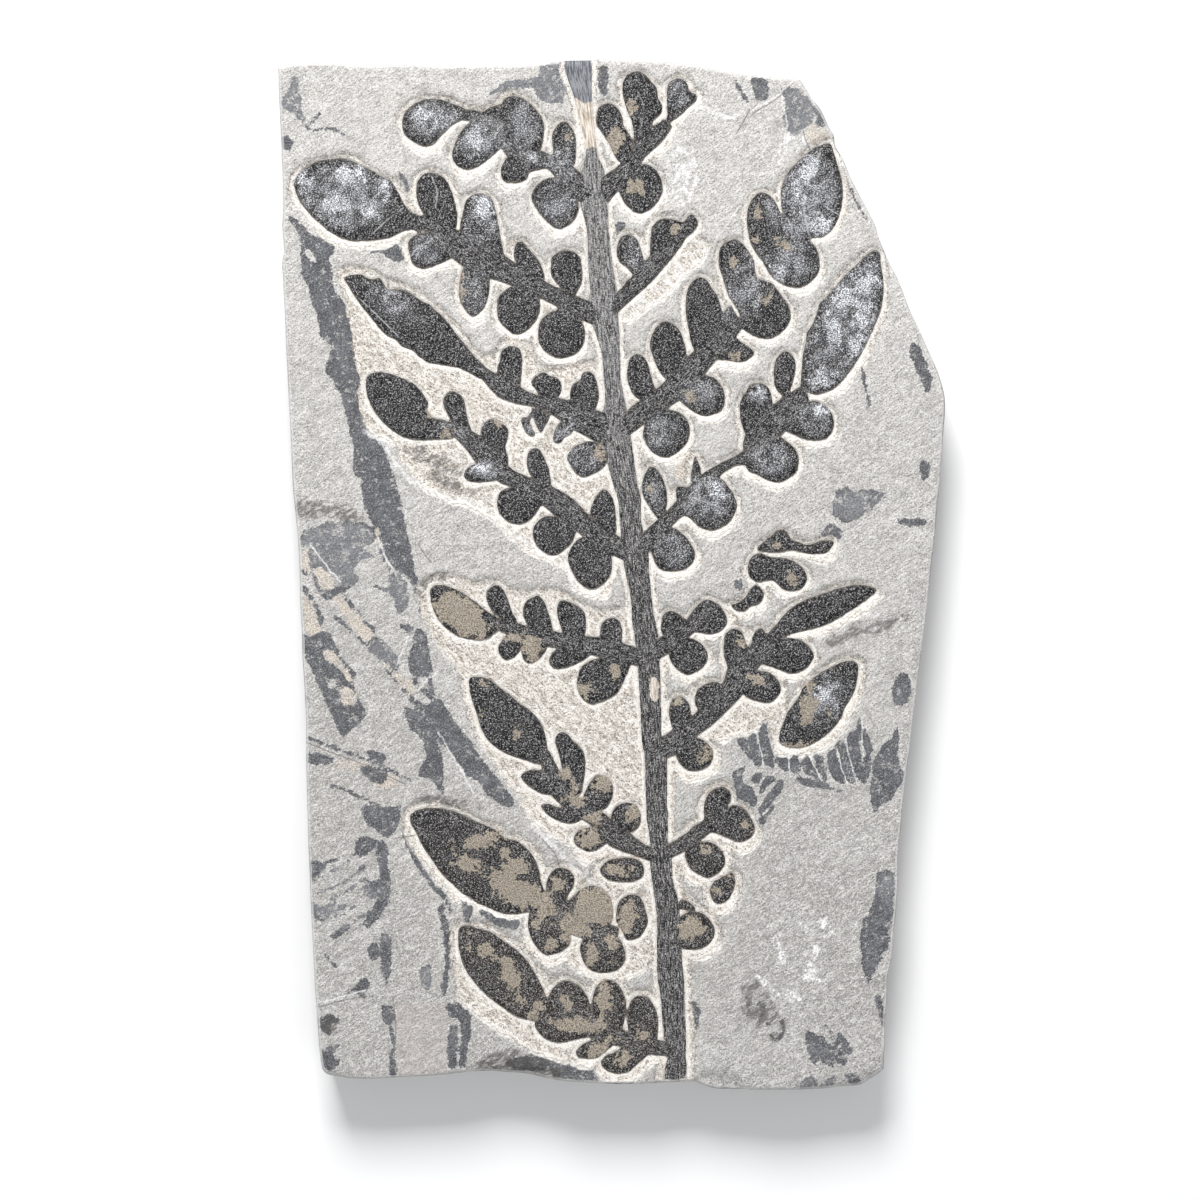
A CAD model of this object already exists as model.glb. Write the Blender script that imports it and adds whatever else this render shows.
import math

import bmesh
import bpy
import numpy as np
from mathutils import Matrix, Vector, noise


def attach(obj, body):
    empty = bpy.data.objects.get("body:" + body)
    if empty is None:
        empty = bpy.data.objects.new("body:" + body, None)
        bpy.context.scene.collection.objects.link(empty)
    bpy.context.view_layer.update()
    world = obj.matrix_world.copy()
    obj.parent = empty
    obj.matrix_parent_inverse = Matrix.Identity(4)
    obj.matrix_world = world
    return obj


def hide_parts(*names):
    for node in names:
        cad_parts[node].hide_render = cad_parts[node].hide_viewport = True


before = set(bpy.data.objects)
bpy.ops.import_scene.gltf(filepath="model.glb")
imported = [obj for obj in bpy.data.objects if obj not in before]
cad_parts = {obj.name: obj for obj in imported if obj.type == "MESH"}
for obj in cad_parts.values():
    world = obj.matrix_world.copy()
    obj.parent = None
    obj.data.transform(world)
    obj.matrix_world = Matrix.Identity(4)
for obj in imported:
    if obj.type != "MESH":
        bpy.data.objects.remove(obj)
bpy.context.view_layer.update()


# The slab: one piece of fine grey shale, split along its bedding and broken to shape at the
# edges. Its face was scraped down round the fern with a fine point, so the fern lies in
# shallow, pale, rough hollows. Thin slate-coloured films of other plants cross the face.
MM = 0.001
STEP = 0.2 * MM                    # outlines are drawn in fifths of a millimetre
MIDDLE = np.array((611.5, 574.5))  # the slab's middle on that drawing, where y runs down
DOWN = (0.0, 2.0)                  # a small shift towards the slab's foot
FAR = 60.0                         # a distance that counts as far away, in drawing steps
LOOP_CUTS = 4                      # points of a rounded outline for each of its corners
FACE = 12.42 * MM                  # the natural face
CELLS_ACROSS, CELLS_ALONG = 236, 365  # of the face's grid
FACE_DEPTH = 0.05 * MM             # how deep the waves of the face lie on the whole
WAVES = ((0.05, 150.0, 1.0), (0.045, 42.0, 2.0), (0.035, 17.0, 4.0), (0.02, 7.0, 8.0))  # mm, size, seed
SCRAPE_SPAN = (560.0, 760.0)       # between these places the scraped margin widens
SCRAPE_REACH = (5.4, 8.0)          # from the first width to the second
SCRAPE_DEPTH = 0.66 * MM           # scraped ground below the natural face
POCKET_DEPTH = 1.25 * MM           # under the carbon, where nothing shows
BEVEL = 0.30 * MM                  # fall of the face at the slab's upper rim
BEDS = (11.4, 10.9, 9.4, 9.1, 7.0, 6.6, 3.9, 3.6, 0.8, 0.0)  # levels of the broken side, in mm
ARRIS = 0.8                        # the back's edge is worn below this level, in mm

LEFT_EDGE = [
    (278, 68), (279, 100), (281, 137), (282, 160), (283, 190), (283, 215), (282, 225), (284, 250),
    (282, 262), (283, 280), (285, 320), (286, 345), (288, 385), (290, 425), (291, 450), (292, 470),
    (293, 490), (295, 510), (297, 530), (298.5, 550), (299.5, 570), (300, 600), (301, 620), (302, 640),
    (302.5, 660), (304, 680), (305, 700), (306, 720), (306, 760), (306.5, 780), (307, 800), (308, 830),
    (308.5, 850), (309.5, 870), (310, 890), (311, 910), (312, 930), (313, 950), (314, 970), (315, 990),
    (317, 1015), (318, 1030), (319, 1045), (320.5, 1060), (322, 1069),
]
BOTTOM_EDGE = [
    (322, 1069), (326, 1074), (333, 1076), (342, 1077), (350, 1078.5), (372, 1079), (390, 1078),
    (408, 1077), (430, 1076), (450, 1074), (470, 1072), (490, 1072), (510, 1073.5), (530, 1075),
    (550, 1080), (570, 1082), (590, 1083), (610, 1084), (640, 1084), (690, 1082), (700, 1084),
    (710, 1088), (720, 1089.5), (753, 1090), (800, 1090), (820, 1089.5), (840, 1087.5), (858, 1086),
    (868, 1081), (878, 1075), (884, 1069),
]
RIGHT_EDGE = [
    (884, 1069), (884, 1055), (885, 1045), (885, 1030), (886, 1010), (887.5, 1000), (887.5, 980),
    (889, 970), (891, 960), (893, 945), (894, 930), (896, 915), (897, 900), (898, 885), (898, 870),
    (898.5, 850), (900, 835), (901, 830), (902.5, 810), (904.5, 790), (907, 770), (910, 750),
    (912, 730), (914.5, 710), (917, 690), (919.5, 670), (922, 650), (924, 635), (926, 620),
    (927.5, 605), (929, 590), (930.5, 575), (932, 560), (933.5, 550), (935.5, 530), (937, 510),
    (938.5, 495), (940, 480), (941, 465), (942.5, 450), (943, 440), (944, 425), (945, 415), (945, 400),
    (943, 388), (938, 372), (931, 356), (924, 340), (917, 325), (910, 310), (904, 294), (897, 277),
    (890, 264), (884, 250), (881, 243), (878, 235), (876, 227), (872, 218), (865, 205), (857, 190),
    (850, 176), (845, 163), (838, 150), (835, 143), (834, 135), (830, 129), (826, 120), (820, 108),
    (813, 100), (808, 92), (801, 80.5), (798, 79),
]
TOP_EDGE = [
    (798, 79), (780, 77), (757, 75), (740, 73), (720, 70), (700, 66), (680, 63), (660, 61.5), (640, 60),
    (600, 59), (575, 60), (560, 61), (540, 63), (520, 65), (480, 65.5), (440, 65.5), (400, 64.5),
    (360, 65), (340, 63.5), (325, 62.5), (300, 63.5), (290, 64.5), (280, 66.5), (278, 68),
]

# The fern on the drawing. The stalk is given as (y, left, right), a stem as a centre line of
# (x, y, width) and a leaflet as an outline.
STALK = [
    (60, 565, 592), (70, 565, 592), (100, 575, 592), (150, 586, 597), (170, 580, 604), (200, 580, 608),
    (230, 587, 609), (260, 588, 612), (290, 590, 617), (310, 588, 618), (350, 601, 620),
    (380, 604, 621), (400, 605, 625), (430, 600, 630), (445, 603, 632), (480, 612, 637),
    (500, 618, 641), (520, 620, 641), (550, 622, 648), (570, 625, 649), (600, 631, 652),
    (620, 632, 655), (640, 635, 659), (670, 638, 660), (700, 640, 661), (740, 642, 662),
    (760, 645, 667), (800, 646, 667), (820, 647, 668), (840, 650, 668), (860, 650, 672),
    (880, 652, 673), (900, 655, 678), (920, 657, 680), (960, 657, 682), (980, 658, 684),
    (1000, 661, 685), (1040, 664, 686), (1055, 668, 686), (1080, 662, 687),
]
STEMS = {
    "pinna_left_1": [
        [(462, 114, 10), (480, 117, 12), (500, 128, 20), (516, 150, 20), (535, 158, 18), (552, 163, 14),
         (568, 176, 22), (583, 190, 22), (597, 196, 20)],
    ],
    "pinna_left_2": [
        [(414, 218, 8), (435, 228, 18), (455, 243, 26), (480, 257, 34), (505, 270, 24), (530, 283, 18),
         (560, 298, 17), (585, 310, 20), (605, 318, 20)],
        [(565, 296, 14), (565, 318, 16)],
    ],
    "pinna_left_3": [
        [(474, 364, 8), (490, 378, 14), (505, 388, 22), (520, 396, 16), (540, 402, 12), (560, 408, 20),
         (580, 418, 26), (612, 432, 32)],
        [(525, 424, 4), (532, 414, 4), (545, 406, 6)],
    ],
    "pinna_left_4": [
        [(446, 424, 8), (470, 440, 18), (488, 458, 24), (505, 475, 18), (525, 483, 14), (545, 494, 20),
         (565, 508, 24), (585, 525, 20), (605, 540, 20), (632, 554, 18)],
    ],
    "pinna_left_5": [
        [(488, 620, 8), (510, 628, 14), (530, 634, 14), (555, 640, 16), (580, 644, 16), (605, 648, 20),
         (630, 655, 18), (654, 660, 16)],
    ],
    "pinna_left_6": [
        [(544, 752, 10), (553, 778, 18), (563, 795, 18), (580, 808, 16), (598, 820, 18), (612, 835, 20),
         (625, 842, 20), (640, 850, 14), (660, 858, 12)],
    ],
    "pinna_left_7": [
        [(545, 900, 24), (560, 912, 26), (580, 925, 24), (600, 932, 20), (618, 935, 14)],
    ],
    "pinna_left_8": [
        [(555, 1010, 20), (580, 1020, 24), (605, 1032, 22), (625, 1040, 16), (645, 1046, 16),
         (672, 1050, 14)],
    ],
    "pinna_right_1": [
        [(668, 122, 12), (655, 138, 14), (640, 152, 14), (628, 168, 16), (612, 182, 20), (600, 195, 22)],
    ],
    "pinna_right_2": [
        [(692, 219, 8), (675, 242, 14), (660, 258, 18), (645, 275, 18), (630, 290, 16), (615, 305, 14),
         (602, 318, 12)],
    ],
    "pinna_right_3": [
        [(740, 318, 14), (720, 342, 20), (706, 355, 22), (690, 372, 26), (675, 388, 24), (660, 400, 22),
         (645, 410, 22), (630, 422, 20), (612, 437, 16)],
    ],
    "pinna_right_5": [
        [(803, 388, 8), (797, 402, 26), (785, 412, 26), (770, 425, 30), (757, 440, 26), (750, 455, 18),
         (735, 461, 9), (720, 469, 10), (705, 482, 16), (690, 500, 20), (675, 513, 14), (660, 528, 16),
         (645, 543, 18), (630, 556, 16)],
    ],
    "pinna_right_6": [
        [(704, 616, 12), (685, 630, 16), (672, 640, 18), (660, 648, 18), (645, 657, 16)],
    ],
    "pinna_right_7": [
        [(774, 638, 14), (755, 655, 22), (742, 668, 26), (735, 685, 24), (722, 702, 20), (705, 718, 20),
         (690, 730, 18), (675, 742, 22), (655, 752, 20)],
    ],
    "pinna_right_8": [
        [(708, 826, 14), (692, 838, 14), (680, 846, 14), (660, 856, 12)],
    ],
    "pinna_right_9": [
        [(690, 940, 12), (668, 938, 10)],
    ],
}
LEAFLETS = {
    "pinna_left_1": [
        [(402, 122), (405, 112), (413, 104), (425, 99), (440, 99), (455, 104), (466, 109), (471, 113),
         (460, 120), (450, 126), (442, 134), (434, 143), (424, 146), (413, 141), (404, 133)],
        [(452, 154), (456, 140), (464, 127), (476, 117), (490, 107), (504, 104), (515, 112), (518, 128),
         (512, 140), (500, 148), (490, 157), (478, 166), (466, 169), (456, 164)],
        [(505, 98), (518, 96), (530, 103), (540, 114), (544, 125), (543, 138), (540, 149), (530, 152),
         (518, 148), (508, 138), (502, 122), (501, 108)],
        [(501, 175), (502, 165), (508, 156), (516, 150), (524, 154), (528, 165), (528, 175), (522, 181),
         (512, 182), (505, 181)],
        [(516, 148), (540, 150), (552, 157), (548, 166), (535, 170), (526, 172), (520, 162)],
        [(553, 150), (552, 135), (557, 125), (563, 121), (569, 124), (575, 134), (576, 150), (574, 165),
         (565, 170), (556, 166), (552, 158)],
        [(532, 200), (533, 190), (540, 182), (550, 177), (560, 180), (570, 186), (575, 196), (579, 206),
         (575, 218), (566, 226), (557, 228), (548, 222), (539, 212)],
    ],
    "pinna_left_2": [
        [(294, 181), (300, 172), (308, 166), (317, 161), (328, 159), (343, 158), (353, 161), (362, 166),
         (372, 170), (382, 176), (391, 181), (397, 190), (402, 200), (407, 208), (412, 212), (420, 216),
         (428, 222), (420, 231), (412, 229), (402, 231), (392, 236), (380, 239), (365, 240), (350, 240),
         (338, 236), (328, 230), (320, 223), (312, 216), (305, 208), (299, 200), (295, 190)],
        [(416, 190), (418, 180), (425, 173), (436, 173), (446, 180), (451, 190), (455, 203), (457, 218),
         (455, 228), (445, 232), (433, 225), (424, 215), (418, 203)],
        [(408, 243), (413, 236), (424, 232), (440, 235), (455, 243), (462, 250), (450, 258), (437, 264),
         (424, 268), (413, 264), (410, 256)],
        [(460, 225), (463, 212), (466, 200), (474, 194), (483, 193), (492, 199), (496, 212), (499, 228),
         (502, 245), (504, 262), (490, 262), (475, 250), (462, 240)],
        [(459, 285), (462, 270), (470, 263), (482, 265), (489, 275), (489, 290), (486, 303), (480, 312),
         (472, 316), (464, 308), (459, 297)],
        [(514, 250), (517, 242), (523, 242), (530, 250), (537, 258), (543, 270), (544, 280), (535, 282),
         (525, 275), (518, 265), (514, 257)],
        [(497, 310), (498, 298), (505, 290), (515, 285), (528, 288), (538, 295), (540, 308), (537, 318),
         (532, 325), (524, 332), (515, 334), (506, 328), (499, 320)],
        [(551, 265), (552, 257), (558, 252), (566, 250), (575, 252), (580, 258), (582, 268), (582, 280),
         (578, 290), (572, 296), (564, 290), (556, 282), (551, 274)],
        [(538, 334), (540, 322), (547, 314), (556, 310), (567, 310), (577, 315), (583, 323), (585, 334),
         (583, 345), (576, 353), (566, 357), (556, 357), (546, 352), (540, 344)],
    ],
    "pinna_left_3": [
        [(344, 278), (350, 275), (360, 274), (366, 277), (372, 279), (380, 278), (384, 284), (388, 289),
         (395, 288), (402, 289), (412, 294), (422, 301), (429, 304), (434, 309), (441, 315), (450, 325),
         (457, 335), (464, 343), (471, 352), (478, 360), (486, 368), (486, 378), (480, 378), (470, 373),
         (460, 368), (450, 366), (438, 364), (428, 362), (420, 357), (412, 350), (402, 346), (395, 339),
         (388, 336), (380, 329), (373, 320), (365, 310), (358, 301), (352, 292), (346, 282)],
        [(501, 352), (506, 347), (514, 346), (520, 350), (522, 360), (521, 375), (519, 388), (508, 390),
         (500, 380), (497, 368), (500, 360)],
        [(531, 382), (536, 376), (544, 372), (550, 376), (556, 377), (561, 383), (561, 392), (556, 398),
         (548, 400), (540, 396), (535, 388)],
        [(573, 384), (580, 380), (582, 374), (588, 371), (594, 375), (597, 383), (599, 395), (597, 405),
         (592, 412), (580, 412), (572, 404), (570, 394)],
        [(521, 420), (525, 417), (529, 421), (532, 428), (535, 434), (531, 436), (525, 431)],
        [(532, 408), (545, 412), (550, 416), (545, 425), (541, 432), (536, 425), (533, 416)],
        [(553, 440), (555, 430), (560, 422), (568, 415), (577, 420), (572, 432), (565, 437), (559, 443)],
    ],
    "pinna_left_4": [
        [(366, 379), (370, 374), (378, 372), (388, 373), (397, 376), (407, 380), (414, 384), (420, 390),
         (425, 397), (428, 403), (427, 410), (434, 418), (445, 420), (455, 428), (452, 438), (440, 439),
         (425, 440), (412, 439), (402, 436), (392, 430), (382, 421), (375, 412), (369, 401), (366, 390)],
        [(443, 403), (445, 396), (451, 391), (458, 393), (464, 400), (466, 412), (469, 424), (472, 434),
         (465, 440), (458, 432), (452, 422), (447, 413)],
        [(481, 432), (484, 424), (491, 419), (498, 422), (503, 424), (508, 430), (507, 440), (505, 447),
         (508, 458), (507, 468), (500, 478), (490, 478), (484, 462), (484, 448)],
        [(464, 474), (468, 467), (478, 463), (488, 460), (498, 466), (502, 476), (490, 481), (475, 482),
         (467, 480)],
        [(527, 458), (530, 450), (536, 448), (541, 451), (545, 460), (549, 470), (551, 489), (543, 488),
         (535, 480), (528, 470)],
        [(497, 503), (500, 492), (508, 488), (518, 484), (530, 487), (540, 495), (541, 504), (535, 514),
         (528, 521), (517, 524), (506, 520), (499, 512)],
        [(533, 537), (534, 527), (540, 519), (550, 516), (560, 518), (570, 524), (575, 533), (572, 542),
         (565, 549), (556, 555), (547, 554), (538, 547)],
        [(568, 560), (570, 550), (576, 541), (585, 536), (596, 537), (606, 544), (611, 555), (612, 568),
         (608, 579), (600, 586), (590, 589), (581, 584), (574, 575)],
        [(590, 512), (594, 500), (600, 491), (606, 490), (612, 497), (615, 508), (616, 522), (616, 532),
         (608, 532), (600, 526), (593, 518)],
    ],
    "pinna_left_5": [
        [(430, 592), (433, 586), (442, 585), (455, 589), (467, 596), (478, 604), (488, 612), (497, 618),
         (498, 628), (492, 635), (482, 640), (470, 639), (458, 636), (447, 629), (438, 619), (432, 606)],
        [(486, 594), (490, 588), (497, 585), (503, 590), (508, 600), (512, 612), (517, 622), (508, 628),
         (500, 618), (493, 612), (488, 604)],
        [(523, 612), (525, 603), (531, 598), (538, 596), (544, 601), (548, 612), (552, 625), (553, 640),
         (540, 638), (530, 628), (525, 620)],
        [(557, 608), (560, 601), (567, 601), (577, 606), (584, 612), (586, 622), (585, 635), (580, 645),
         (568, 643), (562, 630), (558, 618)],
        [(600, 632), (602, 624), (607, 619), (613, 618), (619, 621), (622, 629), (622, 638), (620, 646),
         (603, 646), (600, 640)],
        [(498, 648), (502, 640), (508, 634), (516, 632), (521, 640), (520, 650), (514, 657), (506, 660),
         (500, 655)],
        [(521, 645), (528, 636), (538, 634), (548, 640), (546, 650), (540, 658), (532, 663), (524, 660)],
        [(549, 660), (553, 652), (560, 648), (572, 644), (585, 642), (595, 646), (590, 655), (580, 662),
         (568, 667), (557, 669), (551, 666)],
        [(577, 688), (578, 675), (582, 667), (590, 661), (600, 658), (615, 657), (625, 660), (630, 665),
         (626, 675), (622, 685), (617, 693), (610, 698), (600, 702), (590, 704), (582, 698)],
    ],
    "pinna_left_6": [
        [(470, 678), (480, 677), (490, 680), (500, 688), (510, 695), (517, 702), (528, 709), (538, 719),
         (544, 731), (547, 745), (547, 758), (540, 764), (528, 761), (512, 756), (498, 749), (488, 740),
         (481, 728), (476, 712), (471, 697), (469, 686)],
        [(555, 741), (559, 733), (567, 734), (574, 742), (581, 748), (585, 758), (585, 772), (583, 785),
         (580, 795), (568, 797), (562, 785), (562, 770), (559, 755)],
        [(521, 777), (525, 772), (535, 770), (547, 773), (556, 782), (560, 792), (548, 795), (536, 791),
         (526, 784)],
        [(541, 806), (548, 804), (560, 808), (572, 805), (586, 806), (584, 816), (576, 823), (564, 823),
         (552, 818), (545, 812)],
        [(583, 800), (586, 790), (592, 780), (600, 775), (608, 778), (613, 786), (612, 798), (606, 808),
         (596, 811), (587, 808)],
        [(583, 810), (595, 812), (606, 816), (610, 826), (602, 832), (592, 826), (584, 818)],
        [(611, 818), (614, 809), (621, 804), (630, 803), (638, 808), (641, 817), (639, 826), (632, 832),
         (623, 832), (615, 827)],
        [(574, 838), (579, 830), (588, 828), (598, 830), (603, 838), (608, 842), (600, 848), (592, 852),
         (583, 850), (576, 845)],
    ],
    "leaflet_low_left": [
        [(600, 871), (604, 864), (612, 860), (625, 858), (637, 860), (643, 866), (644, 874), (638, 880),
         (626, 882), (612, 881), (604, 877)],
    ],
    "pinna_left_7": [
        [(410, 816), (416, 811), (428, 808), (442, 809), (456, 812), (470, 819), (484, 825), (497, 831),
         (504, 838), (516, 841), (526, 848), (534, 858), (539, 870), (541, 882), (545, 892), (552, 905),
         (545, 915), (532, 912), (518, 914), (503, 914), (490, 909), (477, 903), (464, 895), (452, 884),
         (441, 873), (431, 859), (423, 847), (416, 833), (411, 824)],
        [(546, 890), (548, 878), (554, 870), (561, 868), (568, 870), (574, 877), (573, 887), (568, 896),
         (566, 908), (572, 916), (560, 918), (552, 906)],
        [(565, 907), (573, 897), (583, 888), (594, 886), (604, 890), (611, 900), (613, 913), (610, 925),
         (600, 932), (588, 930), (575, 922)],
        [(530, 912), (528, 925), (531, 938), (537, 948), (545, 955), (555, 954), (565, 949), (571, 941),
         (568, 930), (560, 920), (548, 912), (538, 908)],
        [(580, 950), (583, 940), (592, 935), (605, 933), (617, 937), (624, 948), (625, 960), (619, 969),
         (608, 973), (595, 972), (585, 965)],
        [(618, 905), (622, 899), (630, 895), (638, 896), (643, 902), (646, 912), (648, 922), (645, 930),
         (640, 937), (630, 940), (625, 938), (622, 930), (616, 920)],
    ],
    "pinna_left_8": [
        [(458, 935), (460, 928), (468, 926), (478, 929), (490, 932), (503, 941), (516, 950), (526, 960),
         (534, 972), (541, 985), (546, 997), (552, 1010), (545, 1022), (530, 1020), (515, 1016),
         (503, 1008), (492, 1000), (481, 990), (471, 978), (463, 965), (459, 950)],
        [(547, 1005), (551, 992), (558, 984), (567, 981), (577, 985), (585, 993), (590, 1005),
         (592, 1018), (575, 1025), (556, 1022)],
        [(592, 1005), (594, 993), (599, 984), (607, 980), (616, 983), (622, 991), (626, 1003),
         (625, 1018), (621, 1030), (612, 1038), (600, 1034), (594, 1020)],
        [(627, 1018), (629, 1006), (634, 998), (641, 996), (649, 999), (655, 1008), (658, 1020),
         (658, 1035), (655, 1046), (648, 1050), (638, 1046), (630, 1036)],
        [(535, 1022), (545, 1012), (560, 1012), (580, 1014), (598, 1018), (603, 1028), (590, 1036),
         (575, 1040), (560, 1043), (547, 1040), (538, 1032)],
        [(576, 1053), (580, 1047), (590, 1041), (602, 1036), (616, 1034), (620, 1040), (610, 1048),
         (600, 1056), (590, 1059), (580, 1058)],
        [(601, 1062), (606, 1056), (614, 1053), (622, 1048), (632, 1046), (642, 1048), (650, 1051),
         (646, 1057), (638, 1064), (630, 1071), (621, 1074), (612, 1073), (604, 1069)],
    ],
    "pinna_right_1": [
        [(596, 118), (598, 109), (603, 104), (611, 103), (618, 108), (622, 116), (624, 126), (630, 135),
         (633, 143), (630, 155), (628, 165), (618, 160), (610, 145), (602, 132), (597, 125)],
        [(623, 95), (623, 82), (628, 74), (637, 71), (645, 74), (652, 82), (657, 88), (658, 97),
         (662, 105), (661, 113), (655, 118), (652, 124), (650, 135), (648, 148), (640, 158), (634, 160),
         (634, 145), (633, 125), (628, 112)],
        [(667, 95), (668, 84), (674, 79), (681, 78), (687, 83), (690, 91), (696, 94), (696, 100),
         (688, 107), (680, 115), (670, 122), (660, 130), (652, 135), (650, 128), (660, 122), (667, 117),
         (667, 105)],
        [(619, 188), (622, 178), (629, 169), (640, 164), (650, 165), (657, 171), (662, 181), (662, 192),
         (657, 202), (650, 209), (640, 213), (630, 208), (623, 200)],
    ],
    "pinna_right_2": [
        [(617, 248), (620, 238), (627, 234), (634, 236), (639, 243), (642, 253), (644, 262), (642, 272),
         (636, 278), (628, 268), (620, 262), (617, 255)],
        [(651, 235), (652, 227), (658, 220), (667, 218), (677, 220), (683, 222), (688, 216), (692, 214),
         (698, 222), (694, 230), (686, 237), (680, 244), (672, 255), (660, 265), (651, 262), (650, 248)],
    ],
    "pinna_right_3": [
        [(628, 365), (631, 357), (637, 354), (643, 356), (648, 364), (651, 375), (655, 388), (655, 397),
         (645, 400), (635, 396), (629, 385), (627, 375)],
        [(650, 345), (653, 333), (658, 325), (666, 321), (675, 325), (681, 333), (685, 345), (687, 356),
         (688, 365), (685, 378), (672, 382), (662, 375), (655, 362)],
        [(686, 300), (688, 288), (693, 281), (700, 277), (707, 280), (712, 288), (717, 295), (720, 303),
         (723, 312), (727, 308), (731, 305), (735, 312), (739, 322), (738, 332), (728, 335), (724, 345),
         (712, 352), (700, 355), (692, 345), (689, 330), (686, 315)],
        [(719, 258), (720, 249), (726, 242), (735, 239), (742, 243), (748, 250), (754, 260), (755, 268),
         (757, 277), (764, 280), (772, 283), (778, 290), (784, 298), (789, 306), (791, 315), (788, 325),
         (780, 333), (770, 338), (758, 337), (748, 332), (741, 326), (740, 315), (735, 305), (730, 298),
         (726, 288), (722, 275), (719, 265)],
        [(722, 345), (727, 337), (735, 337), (742, 342), (749, 347), (754, 352), (750, 358), (740, 362),
         (728, 360), (715, 358), (712, 352)],
        [(681, 388), (687, 380), (695, 376), (706, 375), (716, 379), (723, 388), (725, 398), (723, 408),
         (716, 413), (705, 416), (695, 412), (685, 405), (678, 397)],
        [(643, 435), (645, 425), (650, 416), (658, 410), (667, 409), (678, 412), (686, 418), (690, 430),
         (687, 442), (679, 451), (668, 457), (657, 455), (648, 447)],
    ],
    "pinna_right_4": [
        [(783, 213), (781, 198), (783, 182), (789, 171), (797, 162), (807, 153), (818, 146), (830, 143),
         (834, 152), (838, 165), (842, 180), (843, 197), (840, 213), (834, 227), (824, 236), (811, 238),
         (806, 245), (790, 240)],
        [(747, 222), (748, 209), (753, 198), (761, 192), (770, 195), (777, 204), (781, 213), (790, 225),
         (792, 245), (780, 258), (766, 262), (756, 252), (750, 240)],
        [(762, 255), (775, 240), (795, 232), (808, 238), (817, 249), (820, 262), (818, 273), (810, 282),
         (800, 287), (789, 286), (778, 281), (769, 272)],
    ],
    "pinna_right_5": [
        [(875, 250), (880, 253), (881, 262), (883, 275), (884, 290), (882, 305), (879, 315), (874, 327),
         (869, 338), (864, 349), (860, 356), (856, 362), (850, 371), (843, 380), (835, 387), (825, 392),
         (814, 394), (806, 390), (801, 386), (802, 370), (803, 355), (806, 342), (807, 333), (812, 325),
         (817, 313), (820, 303), (827, 296), (834, 288), (841, 280), (848, 272), (855, 266), (862, 259),
         (870, 252)],
        [(774, 372), (776, 360), (781, 353), (787, 351), (793, 356), (796, 365), (794, 378), (791, 388),
         (787, 397), (780, 393), (775, 385)],
        [(740, 410), (741, 400), (746, 392), (750, 385), (758, 383), (766, 385), (771, 393), (773, 405),
         (775, 418), (772, 432), (760, 440), (748, 436), (742, 425)],
        [(790, 410), (800, 403), (812, 401), (822, 403), (830, 410), (834, 420), (833, 430), (826, 438),
         (815, 440), (803, 438), (792, 433), (782, 428), (778, 420)],
        [(746, 448), (749, 438), (757, 434), (778, 436), (788, 442), (796, 450), (799, 459), (797, 470),
         (790, 477), (780, 482), (768, 480), (757, 474), (748, 470), (745, 460)],
        [(677, 487), (690, 487), (700, 480), (712, 478), (722, 479), (728, 486), (734, 495), (737, 506),
         (733, 517), (725, 525), (713, 530), (700, 527), (690, 518), (680, 512), (677, 500)],
        [(691, 480), (693, 465), (695, 457), (699, 463), (702, 475), (706, 480), (700, 488)],
        [(642, 485), (645, 474), (650, 467), (657, 469), (662, 477), (666, 488), (667, 500), (665, 512),
         (660, 520), (653, 512), (647, 503), (643, 495)],
        [(651, 548), (655, 537), (663, 530), (673, 528), (683, 534), (690, 542), (695, 553), (693, 562),
         (685, 569), (674, 571), (662, 570), (655, 562)],
    ],
    "pinna_right_6": [
        [(661, 625), (663, 616), (669, 611), (677, 613), (685, 619), (688, 630), (680, 640), (668, 638),
         (662, 633)],
        [(686, 625), (690, 615), (697, 606), (705, 600), (713, 601), (721, 607), (726, 615), (727, 623),
         (722, 630), (712, 634), (702, 633), (692, 631)],
        [(669, 655), (672, 646), (679, 640), (688, 638), (698, 641), (705, 648), (708, 656), (705, 665),
         (698, 671), (688, 675), (678, 670), (672, 663)],
    ],
    "pinna_right_7": [
        [(877, 590), (868, 586), (855, 585), (840, 588), (822, 594), (805, 600), (793, 607), (784, 615),
         (776, 625), (768, 634), (763, 645), (775, 645), (782, 638), (795, 633), (812, 629), (830, 623),
         (845, 614), (858, 606), (870, 597)],
        [(724, 645), (725, 636), (730, 630), (737, 629), (743, 634), (746, 643), (750, 652), (750, 665),
         (742, 680), (732, 680), (728, 668), (724, 655)],
        [(752, 645), (753, 636), (757, 630), (762, 629), (767, 635), (770, 645), (765, 655), (755, 655)],
        [(760, 645), (772, 641), (787, 638), (800, 640), (809, 646), (814, 655), (811, 663), (805, 669),
         (797, 673), (788, 673), (778, 669), (766, 665), (755, 660)],
        [(744, 680), (750, 674), (760, 671), (770, 673), (778, 680), (781, 689), (777, 698), (768, 703),
         (757, 701), (747, 697), (742, 690)],
        [(695, 702), (697, 691), (704, 685), (714, 682), (722, 685), (728, 693), (732, 703), (722, 714),
         (710, 718), (700, 712)],
        [(669, 712), (671, 703), (676, 698), (682, 697), (688, 702), (691, 712), (690, 723), (686, 733),
         (678, 736), (672, 727)],
        [(676, 755), (679, 745), (688, 739), (698, 738), (707, 743), (713, 752), (711, 763), (703, 769),
         (693, 771), (683, 767)],
    ],
    "leaflet_right": [
        [(853, 661), (858, 665), (858, 675), (855, 690), (850, 700), (845, 708), (841, 718), (832, 730),
         (822, 738), (812, 744), (800, 748), (788, 747), (780, 743), (780, 733), (784, 722), (788, 712),
         (793, 705), (799, 697), (802, 690), (807, 684), (814, 678), (822, 672), (832, 667), (843, 662)],
    ],
    "pinna_right_8": [
        [(704, 820), (704, 806), (708, 795), (715, 789), (723, 787), (730, 792), (731, 800), (727, 808),
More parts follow.
